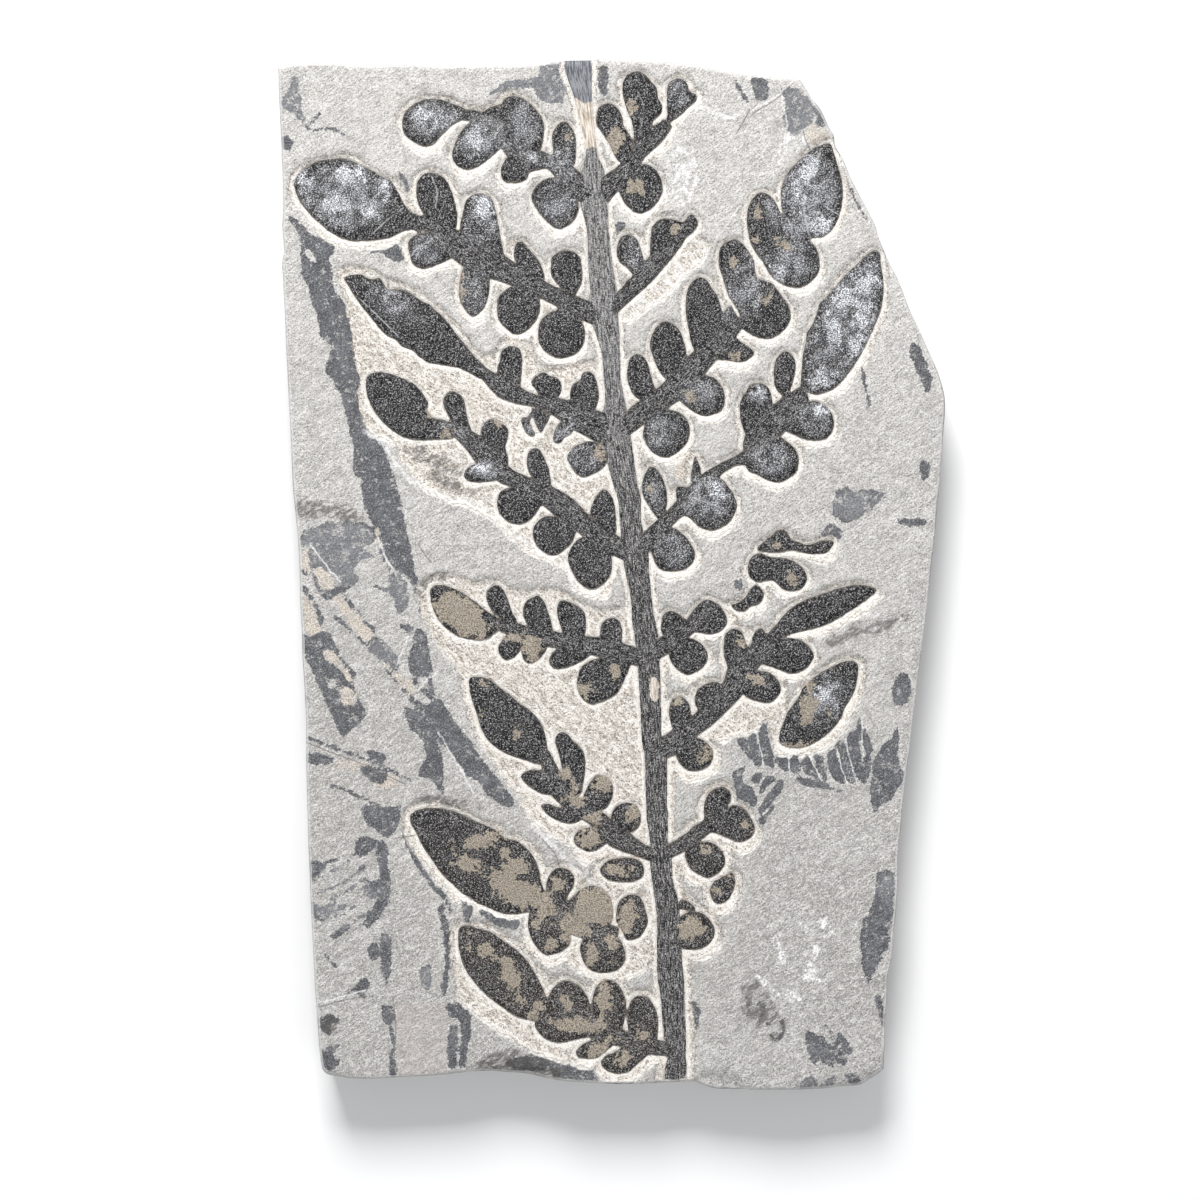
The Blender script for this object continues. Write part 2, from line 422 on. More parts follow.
         (735, 805), (744, 809), (751, 818), (755, 829), (750, 838), (740, 842), (728, 838), (718, 834),
         (706, 832), (695, 836), (690, 830), (698, 824)],
        [(685, 855), (690, 845), (700, 842), (712, 843), (720, 849), (725, 858), (724, 866), (718, 873),
         (708, 878), (698, 874), (690, 868)],
    ],
    "pinna_right_9": [
        [(678, 905), (681, 900), (688, 902), (695, 908), (694, 912), (686, 910), (679, 909)],
        [(677, 925), (682, 916), (692, 912), (703, 914), (711, 922), (715, 932), (711, 942), (703, 948),
         (692, 950), (682, 948), (676, 938)],
    ],
    "leaflet_mid_left": [
        [(567, 457), (573, 448), (582, 443), (591, 441), (600, 445), (606, 453), (607, 462), (600, 470),
         (592, 474), (583, 477), (575, 472), (570, 464)],
    ],
    "leaflet_low_right": [
        [(710, 890), (714, 882), (720, 879), (727, 875), (732, 873), (735, 878), (735, 885), (732, 893),
         (728, 900), (720, 904), (714, 902), (711, 896)],
    ],
    "scrap_upper": [
        [(757, 549), (765, 541), (775, 533), (782, 529), (788, 533), (791, 539), (798, 542), (808, 545),
         (818, 542), (828, 540), (834, 542), (831, 548), (826, 553), (812, 554), (802, 552), (792, 550),
         (780, 552), (768, 552)],
    ],
    "scrap_middle": [
        [(748, 568), (751, 558), (760, 553), (770, 557), (785, 558), (797, 563), (805, 571), (807, 580),
         (802, 588), (793, 591), (783, 589), (776, 582), (768, 580), (758, 582), (750, 577)],
    ],
    "scrap_lower": [
        [(764, 596), (761, 588), (755, 585), (750, 590), (745, 598), (738, 603), (731, 605), (736, 610),
         (744, 611), (751, 606), (759, 604)],
    ],
}

# Ground that was scraped between the shoots, beyond the plain margin round the fern.
SCRAPED = [
    [(338, 270), (362, 265), (388, 278), (412, 286), (440, 306), (462, 330), (480, 352), (494, 350),
     (500, 338), (515, 336), (530, 346), (540, 364), (560, 366), (575, 362), (600, 362), (604, 400),
     (612, 450), (618, 500), (622, 545), (612, 590), (590, 597), (572, 588), (562, 570), (545, 560),
     (520, 545), (495, 522), (470, 507), (440, 497), (418, 482), (402, 462), (392, 442), (372, 434),
     (362, 415), (357, 380), (352, 340), (345, 300)],
    [(418, 600), (419, 585), (430, 575), (450, 574), (480, 581), (500, 577), (515, 588), (540, 588),
     (560, 590), (590, 605), (600, 610), (625, 612), (632, 640), (638, 700), (642, 760), (645, 830),
     (650, 855), (600, 857), (585, 862), (565, 845), (545, 830), (528, 812), (512, 790), (498, 768),
     (485, 750), (474, 728), (464, 700), (458, 672), (445, 655), (432, 635), (424, 618)],
    [(560, 925), (600, 925), (640, 935), (650, 955), (640, 975), (600, 980), (570, 965)],
    [(700, 722), (735, 700), (760, 706), (785, 705), (790, 715), (780, 735), (775, 748), (740, 735),
     (720, 742), (700, 735)],
    [(699, 236), (712, 243), (706, 256), (690, 272), (668, 292), (648, 308), (630, 322), (622, 316),
     (640, 294), (662, 266), (682, 246)],
    [(454, 930), (462, 918), (472, 922), (466, 950), (478, 980), (502, 1004), (532, 1022), (560, 1042),
     (568, 1062), (542, 1054), (515, 1041), (495, 1027), (476, 1013), (460, 1003), (454, 990), (453, 960)],
]

# Films of other plants: patches, then a comb-like leaf and others that the scraping left standing,
# then thin films as lines with a width, and bare spots inside films.
FILMS = [
    [(292, 77), (298, 80), (300, 95), (302, 110), (308, 130), (297, 117), (288, 110), (282, 104),
     (283, 98), (289, 88)],
    [(282, 136), (292, 138), (291, 149), (283, 148)],
    [(288, 217), (300, 222), (312, 236), (331, 240), (334, 252), (329, 257), (331, 268), (333, 280),
     (335, 290), (342, 300), (347, 312), (350, 325), (354, 340), (357, 352), (359, 365), (361, 378),
     (363, 395), (365, 410), (367, 425), (372, 433), (383, 437), (388, 455), (391, 470), (396, 480),
     (399, 492), (402, 510), (406, 525), (409, 540), (412, 555), (415, 570), (418, 583), (415, 592),
     (420, 610), (422, 625), (418, 610), (412, 588), (405, 574), (393, 568), (386, 555), (380, 540),
     (375, 530), (370, 518), (365, 510), (362, 495), (361, 480), (356, 475), (353, 465), (354, 450),
     (352, 440), (349, 428), (345, 412), (341, 398), (336, 388), (333, 380), (326, 373), (328, 360),
     (331, 350), (337, 348), (327, 343), (320, 335), (318, 322), (315, 310), (311, 300), (308, 288),
     (303, 278), (300, 270), (301, 262), (300, 250), (298, 232)],
    [(390, 572), (398, 574), (405, 580), (407, 592), (409, 602), (405, 608), (400, 614), (395, 606),
     (391, 596), (380, 590), (371, 587), (373, 584), (388, 588), (388, 580)],
    [(300, 546), (301, 535), (308, 531), (320, 524), (335, 521), (350, 521), (362, 523), (374, 528),
     (377, 535), (370, 545), (362, 547), (372, 555), (373, 558), (362, 560), (356, 566), (354, 572),
     (360, 578), (355, 584), (345, 590), (340, 586), (337, 578), (330, 571), (323, 562), (317, 552),
     (311, 546)],
    [(307, 552), (314, 549), (321, 558), (328, 567), (336, 577), (341, 587), (337, 596), (331, 600),
     (324, 599), (319, 592), (314, 584), (311, 572), (310, 560)],
    [(370, 252), (380, 249), (388, 247), (393, 243), (399, 245), (403, 253), (404, 260), (395, 262),
     (388, 258), (384, 253)],
    [(302, 634), (312, 636), (326, 632), (333, 640), (338, 650), (344, 661), (352, 669), (357, 674),
     (353, 680), (356, 692), (359, 700), (365, 708), (363, 720), (354, 728), (346, 735), (340, 733),
     (334, 719), (327, 705), (321, 692), (315, 678), (309, 665), (303, 650)],
    [(369, 641), (377, 636), (386, 644), (394, 652), (399, 661), (398, 670), (391, 669), (382, 660),
     (374, 652)],
    [(418, 628), (425, 632), (428, 645), (431, 660), (432, 675), (434, 690), (436, 698), (430, 700),
     (425, 695), (415, 686), (411, 683), (412, 675), (408, 664), (412, 645), (414, 635)],
    [(401, 625), (410, 624), (414, 629), (411, 636), (405, 632)],
    [(408, 697), (418, 700), (425, 706), (432, 701), (440, 700), (448, 710), (460, 728), (475, 748),
     (487, 765), (500, 780), (508, 793), (515, 803), (508, 808), (495, 800), (485, 793), (480, 783),
     (470, 778), (463, 770), (455, 760), (448, 750), (440, 742), (433, 735), (428, 728)],
    [(405, 708), (415, 712), (425, 722), (433, 735), (439, 748), (443, 765), (443, 780), (445, 793),
     (440, 793), (436, 786), (430, 778), (418, 777), (421, 766), (425, 756), (424, 745), (417, 733),
     (410, 728), (406, 718)],
    [(303, 757), (318, 753), (332, 757), (330, 764), (315, 764), (303, 760)],
    [(366, 752), (375, 750), (386, 757), (384, 763), (372, 758)],
    [(360, 766), (374, 767), (388, 774), (380, 784), (366, 777)],
    [(361, 806), (378, 806), (397, 810), (400, 819), (394, 833), (385, 838), (376, 829), (366, 822)],
    [(356, 842), (366, 836), (377, 841), (372, 850), (362, 858), (355, 851)],
    [(378, 841), (388, 847), (388, 865), (391, 885), (388, 904), (381, 915), (372, 926), (366, 928),
     (368, 915), (376, 900), (365, 897), (363, 886), (371, 881), (380, 878), (377, 860)],
    [(382, 934), (391, 937), (391, 955), (390, 975), (386, 985), (382, 975), (380, 955)],
    [(369, 945), (377, 943), (380, 954), (374, 962), (369, 955)],
    [(382, 1005), (392, 1007), (395, 1019), (388, 1026), (382, 1018)],
    [(421, 968), (430, 965), (432, 978), (429, 990), (423, 989), (420, 978)],
    [(390, 1060), (396, 1060), (396, 1078), (391, 1078)],
    [(438, 908), (443, 905), (447, 920), (453, 935), (451, 950), (450, 968), (448, 985), (444, 999),
     (441, 985), (445, 960), (443, 935), (440, 920)],
    [(447, 1005), (460, 1003), (469, 1006), (471, 1025), (468, 1050), (464, 1067), (459, 1064),
     (461, 1045), (460, 1022), (450, 1016)],
    [(449, 1026), (457, 1027), (457, 1045), (455, 1067), (448, 1065)],
    [(310, 864), (318, 861), (326, 866), (318, 876), (311, 881)],
    [(311, 902), (322, 906), (336, 899), (331, 911), (315, 919)],
    [(330, 936), (345, 925), (353, 919), (348, 931), (336, 938)],
    [(355, 986), (365, 977), (370, 986), (360, 993)],
    [(320, 1018), (330, 1014), (341, 1021), (332, 1026), (330, 1035), (321, 1031)],
    [(322, 1050), (340, 1045), (332, 1055), (341, 1061), (330, 1071), (322, 1063)],
    [(508, 1060), (530, 1056), (548, 1060), (546, 1070), (525, 1072), (510, 1068)],
    [(550, 1064), (570, 1062), (600, 1068), (598, 1080), (570, 1079), (552, 1074)],
    [(690, 1004), (699, 1006), (697, 1034), (691, 1032)],
    [(486, 97), (505, 82), (520, 79), (540, 75), (541, 66), (565, 62), (565, 95), (560, 103),
     (550, 103), (538, 98), (530, 88), (505, 90)],
    [(565, 62), (592, 62), (590, 84), (596, 100), (588, 125), (578, 118), (572, 100), (566, 92)],
    [(598, 68), (608, 69), (607, 94), (600, 92)],
    [(752, 78), (768, 82), (766, 100), (755, 96)],
    [(782, 90), (790, 88), (800, 90), (803, 96), (812, 100), (813, 120), (805, 128), (795, 136),
     (788, 130), (783, 122), (785, 105)],
    [(815, 100), (828, 112), (826, 126), (817, 124)],
    [(615, 222), (625, 224), (624, 233), (616, 231)],
    [(910, 342), (918, 345), (924, 355), (928, 368), (932, 378), (930, 390), (926, 392), (920, 378),
     (914, 365), (909, 352)],
    [(920, 462), (930, 464), (928, 479), (921, 478)],
    [(900, 518), (925, 520), (922, 526), (902, 524)],
    [(833, 500), (835, 492), (841, 490), (847, 486), (852, 492), (860, 492), (868, 489), (885, 493),
     (875, 506), (862, 516), (855, 520), (847, 523), (838, 521), (833, 515)],
    [(821, 531), (830, 525), (841, 528), (843, 536), (834, 541), (824, 539)],
    [(735, 580), (742, 579), (742, 589), (736, 589)],
    [(897, 727), (899, 740), (898, 752), (900, 765), (905, 770), (903, 780), (890, 800), (880, 806),
     (876, 812), (872, 808), (871, 790), (872, 770), (876, 755), (884, 745), (892, 738)],
    [(900, 673), (908, 677), (912, 685), (910, 695), (905, 705), (895, 703), (892, 690)],
    [(877, 873), (893, 871), (894, 880), (893, 915), (890, 930), (888, 945), (883, 955), (879, 965),
     (874, 972), (871, 983), (868, 985), (862, 962), (860, 945), (861, 930), (865, 917), (870, 908),
     (876, 890)],
    [(807, 1030), (815, 1034), (825, 1038), (830, 1049), (836, 1064), (828, 1066), (821, 1060),
     (817, 1051), (819, 1060), (815, 1066), (810, 1056), (806, 1044)],
    [(827, 1045), (835, 1047), (842, 1053), (848, 1062), (842, 1067), (835, 1061), (829, 1054)],
    [(830, 1036), (836, 1038), (840, 1032), (847, 1040), (852, 1050), (849, 1056), (842, 1049), (835, 1045)],
    [(800, 1089), (806, 1077), (815, 1078), (817, 1088)],
    [(819, 1089), (828, 1079), (837, 1077), (833, 1085), (826, 1090)],
    [(846, 1073), (855, 1074), (860, 1080), (858, 1086), (850, 1085)],
    [(875, 998), (880, 996), (884, 1012), (885, 1030), (880, 1020)],
]
STANDING_FILMS = [
    [(462, 900), (470, 902), (473, 911), (469, 921), (465, 920), (462, 910)],
    [(480, 909), (490, 913), (508, 920), (518, 920), (519, 926), (513, 930), (496, 925), (482, 915)],
    [(737, 740), (745, 738), (747, 746), (751, 754), (755, 763), (749, 758), (744, 752), (740, 747)],
    [(747, 739), (755, 733), (757, 742), (761, 754), (762, 765), (755, 766), (753, 759), (750, 748)],
    [(758, 733), (760, 728), (765, 722), (768, 732), (770, 742), (773, 754), (774, 768), (769, 766),
     (764, 762), (762, 753), (759, 743)],
    [(775, 756), (781, 758), (787, 757), (788, 763), (789, 771), (786, 772), (781, 769), (777, 765)],
    [(790, 758), (794, 755), (798, 757), (800, 763), (800, 770), (799, 774), (796, 774), (792, 772),
     (790, 764)],
    [(802, 762), (806, 757), (810, 759), (813, 764), (816, 771), (820, 778), (822, 782), (812, 777),
     (805, 774), (802, 768)],
    [(813, 756), (819, 755), (823, 758), (825, 768), (827, 779), (825, 781), (821, 776), (817, 767)],
    [(827, 753), (831, 750), (836, 751), (838, 759), (841, 771), (845, 782), (842, 784), (835, 780),
     (830, 773), (828, 763)],
    [(834, 746), (837, 742), (843, 741), (846, 748), (849, 758), (852, 768), (855, 780), (854, 784),
     (848, 782), (844, 775), (841, 764), (839, 753)],
    [(846, 740), (848, 734), (853, 731), (857, 733), (860, 745), (862, 762), (866, 774), (867, 781),
     (863, 784), (858, 779), (854, 770), (851, 758), (847, 747)],
    [(856, 729), (857, 722), (859, 717), (861, 723), (862, 731), (861, 740), (858, 735)],
    [(863, 728), (867, 733), (870, 740), (873, 746), (871, 753), (867, 755), (864, 750), (863, 740)],
    [(864, 757), (870, 756), (871, 764), (870, 774), (868, 780), (865, 770)],
    [(797, 776), (803, 777), (812, 780), (825, 783), (833, 787), (846, 792), (840, 793), (830, 790),
     (816, 788), (805, 786), (799, 782)],
    [(732, 773), (737, 770), (742, 768), (744, 764), (746, 768), (743, 774), (743, 782), (751, 787),
     (756, 795), (757, 801), (754, 808), (747, 802), (738, 798), (736, 791), (733, 782)],
    [(752, 778), (754, 773), (759, 772), (763, 774), (760, 780), (757, 784), (751, 781)],
    [(759, 792), (761, 785), (766, 778), (771, 776), (776, 777), (773, 782), (768, 786), (763, 794)],
    [(757, 811), (761, 805), (766, 797), (773, 788), (778, 781), (783, 780), (783, 788), (777, 797),
     (770, 806), (762, 813)],
    [(758, 817), (764, 815), (770, 809), (775, 804), (774, 809), (769, 816), (764, 824), (760, 823)],
]
FILM_LINES = [
    (2.8, [(310, 868), (322, 863), (336, 860)]), (2.2, [(312, 881), (328, 873), (344, 864), (357, 853)]),
    (2.8, [(316, 894), (334, 887), (350, 878), (364, 866)]), (2.2, [(330, 900), (348, 890), (366, 878)]),
    (5.4, [(310, 908), (322, 913), (334, 911), (346, 904)]), (2.4, [(320, 921), (340, 915), (358, 904)]),
    (3.4, [(330, 938), (341, 929), (352, 922), (366, 914)]), (2.2, [(350, 932), (362, 924), (376, 910)]),
    (2.6, [(324, 954), (331, 962), (338, 969)]), (2.4, [(346, 996), (354, 990), (366, 998), (374, 994)]),
    (2.8, [(746, 996), (750, 1008), (746, 1016)]), (3.4, [(758, 1002), (764, 1010), (760, 1021),
    (769, 1024)]),
    (3.0, [(775, 1013), (783, 1024), (782, 1036), (775, 1040), (771, 1034)]),
    (3.0, [(320, 112), (308, 130), (330, 128), (345, 135)]),
    (3.2, [(307, 738), (330, 746), (360, 757), (390, 770), (410, 781)]),
    (3.4, [(330, 785), (350, 792), (370, 802), (385, 808), (400, 807)]),
    (3.4, [(339, 588), (350, 603), (361, 616), (372, 629), (380, 640)]),
    (3.0, [(333, 616), (345, 625), (358, 638), (372, 651), (386, 669), (400, 686), (416, 700)]),
    (4.4, [(303, 586), (310, 597), (318, 609), (322, 626)]),
    (3.2, [(378, 545), (384, 560), (391, 573)]),
    (3.0, [(301, 569), (308, 576)]),
    (5.0, [(405, 828), (408, 844), (415, 858), (423, 872), (433, 885), (445, 899), (451, 912)]),
    (1.8, [(816, 1027), (822, 1023), (828, 1030), (834, 1036)]),
    (3.2, [(563, 958), (572, 957), (578, 965), (583, 975)]),
    (3.4, [(391, 1026), (393, 1045), (391, 1060)]),
    (3.4, [(398, 172), (404, 180), (408, 191)]),
    (3.4, [(850, 188), (858, 205), (866, 219)]),
    (3.6, [(735, 80), (742, 92), (748, 103)]),
    (3.0, [(880, 325), (868, 350), (862, 365), (865, 385), (870, 408)]),
]
FILM_GAPS = [
    [(305, 249), (311, 252), (316, 263), (309, 259)],
    [(323, 652), (330, 650), (337, 655), (344, 666), (350, 672), (351, 682), (345, 679), (340, 670),
     (333, 664), (325, 658)],
    [(327, 681), (334, 679), (336, 686), (330, 689)],
    [(340, 690), (347, 687), (354, 692), (356, 702), (348, 706), (341, 702)],
    [(315, 568), (322, 567), (330, 574), (336, 584), (330, 590), (322, 588), (317, 580)],
    [(418, 677), (428, 678), (427, 688), (420, 687)],
    [(374, 526), (379, 528), (380, 540), (376, 538)],
]

# A faintly pink patch, then faded parts of the films as ovals: x, y, half width, half height, turn.
BLUSH = [(395, 1003), (447, 1003), (447, 1073), (396, 1076)]
FADED_FILMS = [
    (338, 552, 40, 34), (398, 596, 20, 22), (384, 654, 16, 20, 45), (296, 98, 18, 26), (536, 84, 50, 26),
    (799, 112, 20, 30), (858, 505, 28, 16), (790, 1082, 60, 12), (342, 895, 30, 34),
    (886, 887, 10, 13), (426, 979, 10, 16),
]

# Stains on the natural face.
CREAM_STAINS = [
    [(300, 550), (307, 549), (312, 557), (313, 567), (308, 571), (301, 567)],
    [(315, 568), (322, 567), (330, 574), (336, 584), (330, 590), (322, 588), (317, 580)],
    [(301, 598), (306, 597), (312, 607), (318, 620), (322, 632), (315, 635), (305, 630), (302, 615)],
    [(331, 598), (338, 594), (345, 601), (352, 609), (360, 617), (368, 626), (376, 636), (372, 641),
     (366, 641), (358, 633), (350, 625), (342, 614), (335, 606)],
    [(323, 652), (330, 650), (337, 655), (344, 666), (350, 672), (351, 682), (345, 679), (340, 670),
     (333, 664), (325, 658)],
    [(340, 690), (347, 687), (354, 692), (356, 702), (348, 706), (341, 702)],
    [(384, 663), (390, 664), (398, 675), (405, 678), (411, 683), (415, 693), (409, 698), (400, 688),
     (392, 678)],
    [(374, 526), (379, 528), (380, 540), (376, 538)],
    [(428, 402), (436, 402), (443, 412), (440, 419), (430, 414)],
    [(675, 460), (690, 458), (692, 480), (680, 484), (676, 472)],
    [(806, 128), (822, 126), (834, 138), (828, 143), (812, 146)],
    [(335, 760), (360, 762), (362, 770), (340, 768)],
    [(380, 772), (396, 778), (390, 790), (376, 784)],
]
BROWN_STAINS = [
    [(320, 1018), (340, 1020), (333, 1028), (323, 1035)],
    [(744, 994), (750, 992), (754, 1002), (756, 1014), (748, 1022), (742, 1014)],
    [(754, 1004), (764, 994), (773, 1000), (774, 1012), (768, 1024), (756, 1026)],
    [(769, 1016), (778, 1012), (785, 1024), (783, 1036), (776, 1042), (769, 1036), (776, 1030)],
    [(752, 986), (758, 982), (760, 990), (754, 993)],
    [(828, 642), (850, 628), (880, 619), (906, 613), (908, 620), (880, 630), (850, 640), (835, 647)],
    [(295, 500), (335, 506), (366, 516), (364, 522), (335, 518), (296, 516)],
    [(480, 1060), (510, 1050), (560, 1062), (560, 1080), (490, 1076)],
    [(418, 590), (424, 578), (440, 571), (455, 572), (440, 577), (428, 584), (422, 596)],
    [(411, 802), (422, 795), (438, 795), (460, 800), (480, 808), (455, 806), (432, 801), (418, 806)],
    [(742, 985), (752, 978), (756, 990), (748, 996)],
    [(404, 444), (420, 446), (440, 456), (462, 462), (474, 470), (460, 476), (436, 468), (416, 458)],
    [(430, 472), (446, 474), (462, 484), (480, 492), (470, 497), (450, 490), (434, 482)],
]

# Ground rubbed white, strongly and faintly, then pale scratches and dark cracks as lines with a width.
SCUFFS = [
    [(774, 936), (779, 938), (782, 949), (789, 957), (789, 965), (783, 963), (778, 953), (774, 945)],
    [(798, 924), (804, 922), (811, 926), (812, 932), (806, 933), (800, 929)],
    [(820, 920), (827, 919), (831, 925), (826, 928), (821, 925)],
    [(814, 932), (822, 934), (832, 932), (832, 935), (822, 937), (814, 935)],
    [(812, 948), (818, 946), (820, 955), (816, 966), (808, 972), (802, 970), (808, 962), (812, 955)],
    [(803, 974), (812, 973), (820, 978), (818, 983), (810, 981), (804, 978)],
    [(757, 974), (762, 976), (768, 983), (774, 988), (772, 992), (765, 990), (759, 984), (756, 978)],
    [(777, 989), (788, 989), (797, 993), (801, 1000), (795, 1003), (786, 998), (778, 994)],
]
FAINT_SCUFFS = [
    [(672, 150), (684, 150), (697, 160), (695, 188), (684, 206), (668, 200), (664, 172)],
    [(786, 137), (800, 134), (808, 142), (798, 150), (785, 156), (776, 168), (772, 160), (779, 146)],
    [(699, 240), (708, 250), (690, 270), (668, 290), (648, 306), (628, 320), (624, 312), (642, 294),
     (664, 268), (684, 250)],
]
SCRATCHES = [
    (5.0, [(700, 105), (712, 112), (725, 117), (735, 116), (743, 112)]),
    (5.5, [(366, 432), (380, 441), (393, 459), (408, 478), (430, 491), (455, 499), (480, 506), (497, 521),
           (520, 539), (545, 552), (562, 562), (574, 584)]),
    (6.0, [(534, 826), (552, 844), (572, 866), (590, 880)]),
    (2.2, [(440, 735), (455, 760), (472, 790)]),
    (2.0, [(379, 541), (386, 558), (395, 573)]),
    (2.2, [(410, 633), (403, 650), (397, 665)]),
    (2.2, [(312, 547), (324, 563), (338, 579)]),
    (2.2, [(420, 688), (428, 678), (433, 676)]),
    (2.4, [(792, 82), (775, 97), (752, 110)]),
    (1.8, [(784, 140), (787, 122), (782, 100), (783, 88)]),
    (1.8, [(718, 236), (730, 220), (745, 198)]),
    (2.0, [(318, 1003), (345, 996), (362, 991)]),
    (1.5, [(757, 734), (759, 744), (762, 754), (763, 764)]), (1.3, [(789, 757), (789, 764), (790, 772)]),
    (1.5, [(812, 760), (816, 769), (820, 777)]), (1.5, [(838, 753), (841, 765), (846, 780)]),
    (1.6, [(862, 722), (862, 738), (863, 752)]), (1.6, [(846, 742), (849, 756), (853, 770), (857, 783)]),
]
CRACKS = [
    (1.6, [(738, 131), (743, 122), (748, 113)]),
    (1.4, [(804, 134), (806, 141), (810, 149)]),
    (1.3, [(318, 1007), (345, 1000), (362, 997)]),
    (1.3, [(308, 743), (330, 752), (360, 763), (390, 777), (403, 783)]),
    (1.3, [(420, 547), (425, 555), (429, 560)]),
    (1.2, [(792, 84), (775, 100), (755, 112)]),
    (1.2, [(545, 842), (556, 856), (560, 870)]),
    (1.3, [(398, 838), (412, 836)]),
    (1.2, [(560, 750), (575, 762), (590, 770)]),
    (1.2, [(393, 1000), (396, 1030), (394, 1058)]),
]
# Places where the edge is chipped: outline, then how deep it falls at the edge in mm.
CHIPS = [
    ([(462, 1090), (472, 1064), (500, 1056), (530, 1058), (560, 1070), (566, 1095)], 1.6),
    ([(684, 1095), (696, 1072), (720, 1066), (745, 1076), (752, 1100)], 1.4),
    ([(796, 1100), (806, 1080), (835, 1074), (870, 1066), (890, 1040), (900, 1080), (870, 1110)], 1.1),
    ([(868, 985), (876, 1000), (882, 1025), (886, 1045), (900, 1045), (900, 980)], 0.9),
    ([(914, 652), (912, 662), (912, 694), (920, 700), (930, 650)], 0.8),
    ([(310, 1060), (330, 1066), (345, 1074), (345, 1090), (310, 1090)], 0.9),
    ([(797, 70), (812, 92), (840, 136), (880, 226), (940, 372), (960, 372), (850, 70)], 0.75),
]


def rounded(a, b, c, d, cuts):
    """Rounded curves from each b to its c, given the point a before it and the point d after."""
    t = (np.arange(cuts) / cuts)[:, None, None]
    square, cube = 2 * a - 5 * b + 4 * c - d, 3 * b - a - 3 * c + d
    curve = 0.5 * (2 * b + (c - a) * t + square * t ** 2 + cube * t ** 3)
    return curve.transpose(1, 0, 2).reshape(-1, b.shape[1])


def smooth_loop(corners):
    """A closed outline rounded through its corners."""
    p = np.array(corners, float)
    return rounded(np.roll(p, 1, 0), p, np.roll(p, -1, 0), np.roll(p, -2, 0), LOOP_CUTS)


def smooth_line(stops, count):
    """An open line rounded through its stops and resampled to a count of even points."""
    p = np.array(stops, float)
    p = np.vstack((2 * p[0] - p[1], p, 2 * p[-1] - p[-2]))
    curve = np.vstack((rounded(p[:-3], p[1:-2], p[2:-1], p[3:], 6), p[-2]))
    lengths = np.linalg.norm(np.diff(curve[:, :2], axis=0), axis=1)
    run = np.concatenate(([0.0], np.cumsum(lengths)))
    even = np.linspace(0.0, run[-1], count)
    return np.stack([np.interp(even, run, column) for column in curve.T], 1)


def at(line, t):
    """The points of a line of even points at places from 0 to 1 along it."""
    stops = np.linspace(0.0, 1.0, len(line))
    return np.stack([np.interp(t, stops, column) for column in line.T], 1)


def stem_loop(run):
    """The outline of a stem from its centre line."""
    line = smooth_line(run, 6 * len(run))
    along = np.gradient(line[:, :2], axis=0)
    across = np.stack((-along[:, 1], along[:, 0]), 1) / np.linalg.norm(along, axis=1)[:, None]
    half = line[:, 2:] / 2
    return np.vstack((line[:, :2] + across * half, (line[:, :2] - across * half)[::-1]))


def loop_distance(spots, loop):
    """How far each spot is outside a closed outline; negative inside."""
    near = np.full(len(spots), 1e9)
    inside = np.zeros(len(spots), bool)
    for a, b in zip(loop, np.roll(loop, -1, 0)):
        side = b - a
        along = np.clip(((spots - a) @ side) / max(side @ side, 1e-9), 0.0, 1.0)
        near = np.minimum(near, np.hypot(*(spots - a - along[:, None] * side).T))
        if a[1] != b[1]:
            crossed = (a[1] > spots[:, 1]) != (b[1] > spots[:, 1])
            inside ^= crossed & (spots[:, 0] < a[0] + side[0] * (spots[:, 1] - a[1]) / side[1])
    return np.where(inside, -near, near)


def distance(spots, loops, reach=FAR):
    """How far each spot is outside the nearest of many closed outlines, up to a reach."""
    nearest = np.full(len(spots), reach)
    for loop in loops:
        low, high = loop.min(0) - reach, loop.max(0) + reach
        close = np.flatnonzero(((spots > low) & (spots < high)).all(1))
        if len(close):
            nearest[close] = np.minimum(nearest[close], loop_distance(spots[close], loop))
    return nearest


def gap_to(spots, outlines, reach=15.0):
    """The same distance for outlines that are given by their corners."""
    return distance(spots, [smooth_loop(outline) for outline in outlines], reach)


def lean(spots, loops, shift, reach=20.0):
    """How fast the distance from the outlines grows in the direction of a small shift, from -1 to 1."""
    ahead = distance(spots + shift, loops, reach)
    return (ahead - distance(spots - shift, loops, reach)) / (2.0 * np.linalg.norm(shift))


def oval(spots, x, y, across, down, turn=0.0):
    """Distance outside an oval of given half widths, in drawing steps."""
    c, s = math.cos(math.radians(turn)), math.sin(math.radians(turn))
    dx, dy = spots[:, 0] - x, spots[:, 1] - y
    reach = np.hypot((dx * c + dy * s) / across, (dy * c - dx * s) / down)
    return (reach - 1.0) * min(across, down)


def gap_to_ovals(spots, ovals, reach=40.0):
    """How far each spot is outside the nearest of many ovals, up to a reach."""
    return np.minimum(np.min([oval(spots, *each) for each in ovals], 0), reach)


